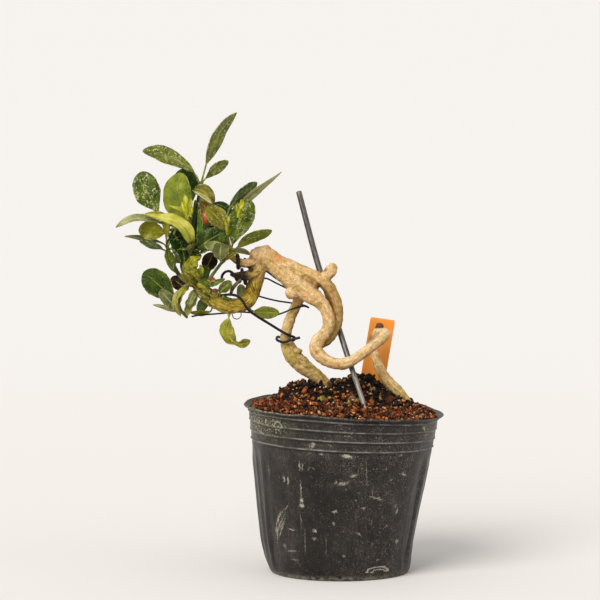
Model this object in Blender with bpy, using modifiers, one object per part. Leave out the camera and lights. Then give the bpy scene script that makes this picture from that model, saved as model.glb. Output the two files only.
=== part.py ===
"""A small kumquat bonsai grown as a twisted, looping trunk in a thin black nursery pot.

Metres, +Z up.  The origin is the centre of the pot's flat underside.  The front of the
tree faces -Y.

Plan and elevation: the tree's forms are read off a front elevation drawn on a
600 x 600 grid, seen from EYE.  at(u, v, y) is the point of the sight line through grid
point (u, v) that lies y millimetres behind the pot's axis.  PX is the size of one grid
step at the axis, so that widths read on the elevation can be given in grid steps.
"""

import math

import bmesh
import bpy
import numpy as np
from mathutils import Vector, noise

# ---------------------------------------------------------------- driving dimensions
MM = 0.001
EYE = Vector((-0.021, -2.015, 0.3264))   # eye point of the front elevation
PITCH = math.radians(-5.19)              # its sight line's slope
FOCAL = 3857.0                           # grid steps per unit slope
PX = 0.5255                              # mm per grid step at the pot's axis

POT_RIM_R = 52.5                         # mm, outside of the flared lip
POT_BASE_R = 35.6                        # mm, flat underside
POT_HEIGHT = 86.0                        # mm, at the middle of the lip's sides
POT_WALL = 0.8                           # mm
RIB_HEIGHTS = (68.7, 73.6, 78.5, 83.2)   # mm
DRAIN_HOLES, DRAIN_R, DRAIN_RING_R = 6, 4.0, 22.0
SOIL_GAP = 0.35                          # mm between the fill and what it touches
LEAF_THICK = 0.42                        # mm
STAKE_D = 3.2                            # mm
LABEL_W, LABEL_T = 13.2, 0.8             # mm


def clear_scene():
    for obj in list(bpy.data.objects):
        bpy.data.objects.remove(obj, do_unlink=True)


clear_scene()
parts = bpy.data.collections.new("kumquat_bonsai")
helpers = bpy.data.collections.new("cutters")
bpy.context.scene.collection.children.link(parts)
bpy.context.scene.collection.children.link(helpers)
helpers.hide_render = True


# ---------------------------------------------------------------- small tools
def at(u, v, y):
    """Point of the elevation's sight line (u, v) lying y mm behind the pot's axis."""
    c, s = math.cos(PITCH), math.sin(PITCH)
    du, dv = (u - 300.0) / FOCAL, (300.0 - v) / FOCAL
    d = Vector((du, c - s * dv, s + c * dv))
    return EYE + d * ((y * MM - EYE.y) / d.y)


def smooth(points, count):
    """count + 1 samples of a centripetal-like Catmull-Rom curve through rows of numbers."""
    p = [Vector(q) if len(q) < 5 else np.array(q, float) for q in points]
    p = [np.array(q, float) for q in p]
    ext = [2 * p[0] - p[1]] + p + [2 * p[-1] - p[-2]]
    out = []
    for k in range(count + 1):
        t = k / count * (len(p) - 1)
        i = min(int(t), len(p) - 2)
        f = t - i
        a, b, c, d = ext[i], ext[i + 1], ext[i + 2], ext[i + 3]
        out.append(
            0.5 * (2 * b + (c - a) * f + (2 * a - 5 * b + 4 * c - d) * f * f
                   + (3 * b - a - 3 * c + d) * f ** 3)
        )
    return out


def material(name, rgb, rough, metallic=0.0):
    mat = bpy.data.materials.get(name)
    if mat is None:
        mat = bpy.data.materials.new(name)
        mat.use_nodes = True
        shader = mat.node_tree.nodes["Principled BSDF"]
        shader.inputs["Base Color"].default_value = (*rgb, 1.0)
        shader.inputs["Roughness"].default_value = rough
        shader.inputs["Metallic"].default_value = metallic
    return mat


def link(obj, mat, collection=parts):
    collection.objects.link(obj)
    obj.data.materials.clear()
    obj.data.materials.append(mat)
    return obj


def tube_curve(name, rows, sides=10, samples=None):
    """A bevelled curve through rows of (x, y, z, radius), metres, capped at both ends."""
    samples = samples or (len(rows) - 1) * 4
    data = bpy.data.curves.new(name, "CURVE")
    data.dimensions = "3D"
    data.bevel_depth = 1.0
    data.bevel_resolution = max(0, sides // 2 - 2)
    data.use_fill_caps = True
    spline = data.splines.new("POLY")
    line = smooth(rows, samples)
    spline.points.add(len(line) - 1)
    for point, q in zip(spline.points, line):
        point.co = (q[0], q[1], q[2], 1.0)
        point.radius = max(q[3], 0.0002)
    return bpy.data.objects.new(name, data)


def mesh_of(obj, collection):
    """A welded mesh object in place of a curve object."""
    if obj.name not in collection.objects:
        collection.objects.link(obj)
    bpy.context.view_layer.update()
    graph = bpy.context.evaluated_depsgraph_get()
    mesh = bpy.data.meshes.new_from_object(obj.evaluated_get(graph))
    bm = bmesh.new()
    bm.from_mesh(mesh)
    bmesh.ops.remove_doubles(bm, verts=bm.verts, dist=1e-6)
    bmesh.ops.recalc_face_normals(bm, faces=bm.faces)
    bm.to_mesh(mesh)
    bm.free()
    name = obj.name
    made = bpy.data.objects.new(name + "_mesh", mesh)
    made.matrix_world = obj.matrix_world
    bpy.data.objects.remove(obj, do_unlink=True)
    made.name = name
    collection.objects.link(made)
    return made


def rows_from(path, extra=0.0):
    """(u, v, y mm, radius in grid steps) rows as (x, y, z, radius) in metres."""
    return [(*at(u, v, y), (r * PX + extra) * MM) for u, v, y, r in path]


def helper(obj):
    obj.hide_render = True
    obj.display_type = "WIRE"
    return obj


def cut(target, cutter, operation="DIFFERENCE"):
    mod = target.modifiers.new(operation.lower() + "_" + cutter.name, "BOOLEAN")
    mod.operation = operation
    mod.solver = "EXACT"
    mod.object = cutter


# ---------------------------------------------------------------- materials
POT = material("black_nursery_plastic", (0.022, 0.021, 0.020), 0.5)
SOIL = material("granular_soil", (0.16, 0.055, 0.025), 0.9)
BARK = material("tan_bark", (0.56, 0.35, 0.14), 0.75)
STEEL = material("grey_rod", (0.23, 0.21, 0.19), 0.45, 0.8)
LABEL = material("orange_label", (0.95, 0.27, 0.02), 0.45)
WIRE = material("black_training_wire", (0.018, 0.014, 0.012), 0.5, 0.4)
FRUIT = material("orange_fruit", (0.80, 0.10, 0.02), 0.35)
LEAF = {
    "dark": material("leaf_dark_green", (0.045, 0.105, 0.018), 0.42),
    "mid": material("leaf_mid_green", (0.10, 0.19, 0.03), 0.45),
    "light": material("leaf_light_underside", (0.26, 0.34, 0.07), 0.6),
    "olive": material("leaf_olive", (0.21, 0.21, 0.045), 0.55),
    "young": material("leaf_young_yellow", (0.60, 0.58, 0.06), 0.5),
}


# ---------------------------------------------------------------- pot
def soften(x, y, z):
    """The thin pot has settled out of true: it leans, its lip is lower on the right and
    higher in front and behind than at its sides."""
    h = min(1.05, max(z, 0.0) / POT_HEIGHT)
    lean = float(np.interp(z, (0, 8, 17, 33, 48, 64, 86), (0, -0.8, -1.2, -0.6, 0.3, 1.0, 1.9)))
    bow = 1.2 if y < 0 else 2.6
    return x + lean, y, z - 0.055 * x * h + bow * (y / POT_RIM_R) ** 2 * h ** 3


def wall_radius(z):
    return 37.2 + 0.152 * z


def pot_profile():
    """Outer wall from the lip down to the centre of the underside, then back up inside."""
    outer = [(POT_RIM_R, POT_HEIGHT), (POT_RIM_R, POT_HEIGHT - 0.8), (50.6, 84.4)]
    for z in sorted(RIB_HEIGHTS, reverse=True):
        r = wall_radius(z)
        outer += [(r + 0.05, z + 0.9), (r + 0.5, z), (r - 0.15, z - 0.9)]
    outer += [(wall_radius(40), 40.0), (wall_radius(12), 12.0), (38.3, 7.0), (37.2, 3.0),
              (POT_BASE_R, 0.0), (30.0, 0.0), (14.0, 0.0)]
    t = POT_WALL
    inner = [(14.0, 1.0), (30.0, 1.0), (POT_BASE_R - t, 1.2), (37.2 - t, 3.4), (38.3 - t, 7.2)]
    inner += [(wall_radius(12) - t, 12.2), (wall_radius(40) - t, 40.0),
              (wall_radius(67) - t, 67.0), (wall_radius(82) - t - 0.1, 82.0),
              (50.6 - t, 84.9), (POT_RIM_R - 0.75, POT_HEIGHT)]
    return outer, inner


def lathe(name, rows, steps, mat, collection=parts):
    """Turns (r, z) rows in mm, listed from the top down its outer side, about the Z axis."""
    bm = bmesh.new()
    last = None
    for r, z in rows:
        v = bm.verts.new((r * MM, 0.0, z * MM))
        if last is not None:
            bm.edges.new((last, v))
        last = v
    mesh = bpy.data.meshes.new(name)
    bm.to_mesh(mesh)
    bm.free()
    obj = bpy.data.objects.new(name, mesh)
    mod = obj.modifiers.new("turn", "SCREW")
    mod.steps = mod.render_steps = steps
    mod.use_merge_vertices = True
    mod.merge_threshold = 0.00005
    mod.use_smooth_shade = True
    return link(obj, mat, collection)


def turned(name, rows, steps):
    """The turned shape as a closed mesh, with every point passed through soften()."""
    obj = lathe(name + "_turning", rows, steps, POT, helpers)
    bpy.context.view_layer.update()
    graph = bpy.context.evaluated_depsgraph_get()
    mesh = bpy.data.meshes.new_from_object(obj.evaluated_get(graph))
    bpy.data.objects.remove(obj, do_unlink=True)
    bm = bmesh.new()
    bm.from_mesh(mesh)
    bmesh.ops.remove_doubles(bm, verts=bm.verts, dist=1e-5)
    for v in bm.verts:
        x, y, z = soften(*(v.co / MM))
        v.co = Vector((x, y, z)) * MM
    bmesh.ops.recalc_face_normals(bm, faces=bm.faces)
    bm.to_mesh(mesh)
    bm.free()
    mesh.name = name
    return bpy.data.objects.new(name, mesh)


outer_rows, inner_rows = pot_profile()
pot = link(turned("nursery_pot",
                  outer_rows + [(0.0, 0.0), (0.0, 1.0)] + inner_rows + [outer_rows[0]], 40), POT)
for k in range(DRAIN_HOLES):
    a = 2 * math.pi * (k + 0.5) / DRAIN_HOLES
    bpy.ops.mesh.primitive_cylinder_add(
        vertices=16, radius=DRAIN_R * MM, depth=8 * MM,
        location=(DRAIN_RING_R * MM * math.cos(a), DRAIN_RING_R * MM * math.sin(a), 0.0))
    drill = helper(bpy.context.object)
    drill.name = "drain_drill_%d" % (k + 1)
    for c in list(drill.users_collection):
        c.objects.unlink(drill)
    helpers.objects.link(drill)
    cut(pot, drill)


# ---------------------------------------------------------------- tree
# Rows are (u, v, y mm, radius in grid steps).
LIMBS = {
    # right root, up behind, over the top bend, forward and down-left, round the lower
    # bend and up into the trunk's heavy head
    "main": [
        (413, 412, 4, 4.0), (406, 401, 4, 5.0), (399, 392.6, 4, 5.8), (391, 384.6, 4.5, 5.9),
        (384.4, 376.4, 5, 5.3), (379.6, 368, 6, 5.0), (376, 359, 7.2, 4.8), (373.8, 350, 8.5, 4.9),
        (372.6, 342, 9, 4.8), (375.6, 336, 8.2, 4.8), (381, 333.4, 5.6, 5.1), (385.2, 333.8, 0.5, 5.5),
        (383, 337.4, -4.5, 5.3), (377.6, 341.8, -8, 5.2), (370, 348, -10.5, 5.0),
        (361, 354.9, -12.3, 5.1), (350, 361.6, -13, 5.4),
        (339, 364.1, -13, 5.7), (325.5, 359.8, -11, 6.0), (316.6, 350.6, -9, 6.9),
        (317.6, 342, -8, 7.0), (323.8, 334.8, -7.5, 6.2), (328.2, 327, -7.5, 6.2),
        (328.4, 317, -7.5, 5.9), (325.1, 308.2, -7, 6.2), (318.6, 300.6, -6, 7.5),
        (308.3, 293, -4.5, 9.4), (297.5, 284, -3, 10.5), (287, 274, -1.5, 10.9),
        (276.5, 265, -0.5, 10.6), (266.5, 257.8, 0, 10.4), (259.5, 255, 0, 9.0),
        (255, 255.6, 0, 7.0),
    ],
    "upper_fork": [
        (279, 262, -1, 7.0), (292, 267.5, -1, 7.0), (305, 273, -1.5, 6.8),
        (317, 278, -1.5, 6.6), (327, 285.5, -1.5, 6.4), (333.3, 296.5, -2, 6.5),
        (336.6, 309, -2.6, 6.5), (336.6, 321, -3.2, 6.1), (333.4, 331.5, -3.6, 5.4),
        (328.3, 339.5, -4.2, 4.6), (321.5, 344.5, -5.6, 4.0),
    ],
    "fork_web": [(299, 277, -2, 6.0), (307, 281.4, -2.6, 5.6), (313, 285.4, -2.6, 4.4),
                 (316.4, 288.6, -2.6, 2.8)],
    "fork_knob": [(322, 280, -1.5, 5.2), (327.5, 274.5, -2, 5.8), (331.6, 269.5, -2.5, 6.2),
                  (333, 267.2, -2.6, 4.8)],
    "lower_knob": [(302, 290, -4, 7.0), (296.5, 292, -4.5, 6.8), (291.4, 293, -5, 6.5),
                   (289.4, 293.4, -5, 5.6)],
    "head_bump": [(262, 257, -1, 8.0), (265.5, 250.5, -1, 6.0), (267, 248.6, -1, 4.4)],
    "left_leg": [
        (341, 404, 9, 3.6), (333.6, 392, 8, 5.0), (323, 381.4, 7, 6.1), (312, 372.8, 6.5, 7.2),
        (301.5, 364.8, 6, 8.2), (293.6, 356.4, 6, 8.4), (288.8, 347.6, 6, 7.2),
        (285.4, 340, 6, 5.6), (286.6, 332, 6, 5.5), (288.8, 323, 6, 5.4),
        (292, 314.5, 5.5, 5.1), (296, 306, 4, 5.2), (300.5, 297, 1.5, 5.6),
        (303.5, 290, -1, 5.4),
    ],
    "leg_burl": [(293, 353, 5, 5.8), (299, 351.2, 4, 3.6), (301, 350.6, 3.8, 2.0)],
    "cut_stub": [(374.6, 343, 8, 4.4), (376.4, 335, 8, 4.4), (378.8, 329.6, 8, 4.3),
                 (380, 326.2, 8, 4.0)],
    "lower_branch": [
        (262, 262, 0, 6.0), (259.6, 270, 1, 6.5), (256.6, 279, 2, 7.2), (253.4, 288.5, 2.5, 7.9),
        (250, 297.4, 2, 7.6), (245, 303.4, 0, 7.2), (237, 305.8, -3, 7.2),
        (226, 305.4, -5, 7.6), (214.6, 300, -6, 8.2), (205.4, 293.6, -5.8, 7.6),
        (199, 287.6, -5, 5.6), (194.4, 283.6, -5, 3.8),
    ],
    "left_stub": [(258, 258, 0, 5.4), (249.5, 263, -0.5, 5.0), (242.5, 263, -1, 4.2),
                  (236, 260.2, -1.5, 3.3), (230.5, 256.4, -2, 2.8), (226.4, 255.4, -2, 2.0)],
    "wired_stub": [(257, 272, 0, 5.4), (248, 275.4, -1.5, 5.4), (241, 275.8, -2.5, 4.3),
                   (235, 275.2, -3, 3.0), (231.4, 274.4, -3.2, 2.0)],
    "crossing_twig": [(204.5, 290, -6, 2.4), (209, 280, -7, 1.9), (216, 270, -8, 1.7),
                      (224, 259.5, -9, 1.5)],
    "centre_twig": [
        (200, 287, -5, 3.6), (196.5, 276, -3.5, 3.0), (193.5, 262, -2.5, 2.6),
        (192.2, 247, -1.5, 2.3), (192.4, 232, -0.5, 2.0), (194.4, 215, 0.5, 1.8),
        (198, 199, 0.8, 1.6), (200.6, 186, 0.5, 1.4),
    ],
    "left_twig": [
        (198, 285.5, -5, 3.2), (187, 281.5, -4, 2.4), (178.5, 274, -3, 2.2),
        (173.2, 264, -2, 2.0), (169.4, 254, -1.5, 1.8), (167.2, 246, -1.5, 1.6),
        (170.5, 236, -2.5, 1.3), (175, 228.5, -3.5, 1.1),
    ],
    "bottom_twig": [
        (200, 288, -6, 3.0), (189.5, 284.5, -8, 2.3), (181.5, 290, -9.5, 2.1),
        (178, 299.5, -10, 2.0), (180.4, 309.5, -10, 1.8), (187, 317.3, -9.5, 1.5),
    ],
    "right_twig": [(231.5, 255, -2, 2.4), (228.4, 243, 0.5, 2.0), (226.6, 231, 3, 1.7),
                   (225.8, 221, 4.5, 1.4)],
}


def tree_wood(name, voxel, ratio):
    """All limbs and twigs grown into one skin: overlapping tubes under a voxel remesh."""
    pieces = [mesh_of(tube_curve(key, rows_from(path), sides=12), helpers)
              for key, path in LIMBS.items()]
    bm = bmesh.new()
    for piece in pieces:
        bm.from_mesh(piece.data)
        bpy.data.objects.remove(piece, do_unlink=True)
    mesh = bpy.data.meshes.new(name)
    bm.to_mesh(mesh)
    bm.free()
    obj = bpy.data.objects.new(name, mesh)
    remesh = obj.modifiers.new("skin", "REMESH")
    remesh.mode = "VOXEL"
    remesh.voxel_size = voxel * MM
    remesh.use_smooth_shade = True
    thin = obj.modifiers.new("thin", "DECIMATE")
    thin.ratio = ratio
    return obj


tree = link(tree_wood("trunk_and_branches", 0.42, 0.037), BARK)


# ---------------------------------------------------------------- soil
MOUND = (-6.0, 8.0)                      # mm, centre of the raised root ball
PLATEAU = (22.0, 22.0, 6.0, 16.0)        # its flat top's reach: left, right, front, back
FOOT = (30.0, 48.0, 27.0, 34.0)          # its foot's reach, the same way round


def reach(spans, dx, dy):
    """Radius of a four-quadrant oval in the direction (dx, dy)."""
    a = spans[0] if dx < 0 else spans[1]
    b = spans[2] if dy < 0 else spans[3]
    r = math.hypot(dx, dy) or 1.0
    return 1.0 / math.hypot(dx / r / a, dy / r / b)


def soil_rise(x, y):
    """Height in mm of the soil over the lip's level at (x, y) mm."""
    r = math.hypot(x - 1.9, y)
    dish = (5.2 if x < 0 else 4.2) * (1 - min(1.0, r / 49.0) ** 2.4)
    dx, dy = x - MOUND[0], y - MOUND[1]
    near, far = reach(PLATEAU, dx, dy), reach(FOOT, dx, dy)
    t = min(1.0, max(0.0, (math.hypot(dx, dy) - near) / (far - near)))
    west = min(1.0, max(0.0, (14.0 - x) / 22.0))
    ball = (12.3 - 5.6 * west * west * (3 - 2 * west)) * (1 - t * t * (3 - 2 * t))
    lump = 1.1 * noise.noise(Vector((x, y, 3.0)) * 0.13) * min(1.0, 2 * (1 - min(1.0, r / 50)))
    return dish + ball + lump - 0.6


def make_soil():
    gap = POT_WALL + SOIL_GAP
    rows = [(0.0, 85.0)] + [(r, 85.0) for r in (8, 16, 24, 31, 37, 42, 46)]
    rows += [(wall_radius(84) - gap - 0.2, 85.0), (wall_radius(81) - gap - 0.2, 81.0),
             (wall_radius(60) - gap, 60.0), (wall_radius(30) - gap, 30.0),
             (wall_radius(12) - gap - 0.1, 12.3), (38.3 - gap - 0.1, 7.4),
             (37.2 - gap - 0.1, 3.8), (POT_BASE_R - gap - 0.3, 1.6), (16.0, 1.4), (0.0, 1.4)]
    obj = turned("potting_soil", rows, 36)
    # the top face takes the mound's height over the lip's own slope
    for v in obj.data.vertices:
        x, y, z = v.co / MM
        if z > 81.5 + 0.0 and abs(z - soften(x - 1.9, y, 85.0)[2]) < 0.4:
            v.co.z = (z + 1.0 + soil_rise(x, y)) * MM
    return obj


soil = link(make_soil(), SOIL)
for key, first, last in (("main", 0, 5), ("left_leg", 0, 5)):
    cutter = mesh_of(tube_curve("socket_" + key, rows_from(LIMBS[key][first:last], 0.55),
                                sides=14), helpers)
    helper(cutter)
    cutter.data.materials.clear()
    cut(soil, cutter)


# ---------------------------------------------------------------- stake and label
STAKE = [(374.5, 440.5, -25), (364.4, 406, -17), (347.6, 356, -6.4), (337, 323, 2.4),
         (317.4, 262.5, 12.4), (298.8, 192, 21)]


def stake_rows(extra=0.0, points=STAKE):
    return [(*at(u, v, y), (STAKE_D / 2 + extra) * MM) for u, v, y in points]


stake = mesh_of(tube_curve("stake", stake_rows(), sides=16, samples=24), parts)
stake.data.materials.clear()
stake.data.materials.append(STEEL)
socket = helper(mesh_of(tube_curve("socket_stake", stake_rows(SOIL_GAP), sides=16,
                                   samples=24), helpers))
cut(soil, socket)

LABEL_TOP, LABEL_FOOT = (382.8, 318.6, 19.0), (370.5, 393.0, 22.0)


def label_blade(name, extra=0.0, collection=parts):
    """A flat strip from its foot in the soil to its top, leaning right."""
    foot, top = at(*LABEL_FOOT), at(*LABEL_TOP)
    bpy.ops.mesh.primitive_cube_add(size=1.0)
    obj = bpy.context.object
    obj.name = name
    for c in list(obj.users_collection):
        c.objects.unlink(obj)
    collection.objects.link(obj)
    length = (top - foot).length
    up = (top - foot).normalized()
    side = Vector((math.cos(math.radians(4)), math.sin(math.radians(4)), 0.0))
    side = (side - up * side.dot(up)).normalized()
    face = up.cross(side)
    w, t = (LABEL_W + 2 * extra) * MM, (LABEL_T + 2 * extra) * MM
    # below the elevation's lowest reading the strip runs on 12 mm into the soil
    deep = 12 * MM + extra * MM
    for v in obj.data.vertices:
        q = v.co.copy()
        along = (q.z + 0.5) * (length + deep) - deep
        v.co = foot + side * (q.x * w) + face * (-q.y * t) + up * along
    obj.data.update()
    bm = bmesh.new()
    bm.from_mesh(obj.data)
    bmesh.ops.recalc_face_normals(bm, faces=bm.faces)
    bm.to_mesh(obj.data)
    bm.free()
    return obj


label = label_blade("plant_label")
label.data.materials.clear()
label.data.materials.append(LABEL)
slot = helper(label_blade("socket_label", 0.35, helpers))
cut(soil, slot)


# ---------------------------------------------------------------- training wires
# Rows are (u, v, y mm); diameters in mm.
WIRES = {
    "wire_lower_guy": (1.4, [
        (220.5, 295.4, -11.6), (229, 294.6, -11), (236.5, 295.8, -10), (242.6, 301, -9),
        (247.5, 308.9, -7.8), (256, 315.6, -4), (268, 323, 0), (280, 330.4, 1.4),
        (288, 334.8, 1.2), (294.6, 337.6, 4), (292.8, 340.6, 9.2), (286, 340.2, 11.2),
        (278.2, 336.8, 9.2), (277.2, 340, 4.4), (284, 342.2, 1.2), (291, 339.8, 1.1),
        (299.8, 337.6, 0.3)]),
    "wire_thin_guy": (0.9, [
        (252, 293.5, 7.6), (261, 296.8, 7.6), (276, 300.6, 8.6), (289, 302.6, 9.2),
        (298, 304, 9.0), (305, 305.6, 6.0), (308.6, 307.6, 2.5), (303.5, 306.2, -0.4),
        (293.5, 308.6, 0.8), (284, 312.4, 2.6), (275, 315.2, 5.0), (264, 315, 6.2),
        (250, 312.6, 6.0), (237, 312, 4.0), (224, 313.2, 0), (211, 314.2, -6.5),
        (200, 315, -9), (191.6, 316.6, -10)]),
    "wire_upper_guy": (0.9, [
        (250, 284, 8.2), (258, 280.2, 8.2), (266, 278.4, 7.6), (276, 283, 6.6),
        (287, 288.2, 4.2), (292.5, 289, 4.3), (294, 286.6, 5.3), (288, 283.6, 6.0),
        (279, 280.4, 7.0), (269.4, 273.4, 7.4), (261, 268.2, 7.8), (252, 265, 7.2)]),
    "wire_stub_coil": (1.4, [
        (221.8, 280, -3.4), (222.2, 275.6, -4.6), (225, 272.2, -5.8), (229.2, 271.2, -6.4),
        (233, 273.4, -6.6), (235.6, 278, -6.3), (238.2, 282.2, -3.6), (240.2, 281.4, 0.4),
        (241, 276.4, 1.5), (241.8, 269.5, -1.2), (242.6, 271.0, -5.4), (243.8, 278.2, -6.0),
        (245, 283.7, -3.3), (246, 281.8, 1.5), (246.6, 277, 2.7), (246.9, 273.4, 2.9)]),
}


def wire_rows(diameter, points):
    return [(*at(u, v, y), diameter / 2 * MM) for u, v, y in points]


for key, (diameter, points) in WIRES.items():
    wire = mesh_of(tube_curve(key, wire_rows(diameter, points), sides=8,
                              samples=int(len(points) * 2.6)), parts)
    wire.data.materials.clear()
    wire.data.materials.append(WIRE)


def wound(limb, first, last, turns, start, diameter, clear=0.45, steps=12):
    """A wire wound round a limb: a helix along samples first to last of the limb's line."""
    line = smooth(rows_from(LIMBS[limb]), 60)
    a, b = np.array(line[first][:3]), np.array(line[last][:3])
    along = (b - a) / np.linalg.norm(b - a)
    side = np.cross(along, (0.0, 0.0, 1.0))
    side /= np.linalg.norm(side)
    up = np.cross(side, along)
    rows = []
    count = int(round(abs(turns) * steps))
    for k in range(count + 1):
        f = first + (last - first) * k / count
        i = min(int(f), 59)
        q = line[i] + (line[i + 1] - line[i]) * (f - i)
        r = q[3] + (diameter / 2 + clear) * MM
        angle = math.radians(start) + 2 * math.pi * turns * k / count
        p = q[:3] + (side * math.cos(angle) + up * math.sin(angle)) * r
        rows.append((*p, diameter / 2 * MM))
    return rows


WINDINGS = {
    "wire_branch_wrap": ("left_stub", 20, 38, -0.84, 400, 1.9),
}
for key, spec in WINDINGS.items():
    wire = mesh_of(tube_curve(key, wound(*spec), sides=8,
                              samples=int(abs(spec[3]) * 14)), parts)
    wire.data.materials.clear()
    wire.data.materials.append(WIRE)


# ---------------------------------------------------------------- fruit
FRUITS = {"fruit_upper": (205.2, 218, -4.5, 2.4, 3.4), "fruit_lower": (212.6, 281.6, -1.6, 2.05, 2.1)}
for key, (u, v, y, r, half) in FRUITS.items():
    bpy.ops.mesh.primitive_uv_sphere_add(segments=14, ring_count=9, radius=1.0)
    fruit = bpy.context.object
    fruit.name = key
    for c in list(fruit.users_collection):
        c.objects.unlink(fruit)
    parts.objects.link(fruit)
    centre = at(u, v, y)
    for w in fruit.data.vertices:
        w.co = centre + Vector((w.co.x * r, w.co.y * r, w.co.z * half)) * MM
    fruit.data.materials.append(FRUIT)
    fruit.data.shade_smooth()


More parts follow.
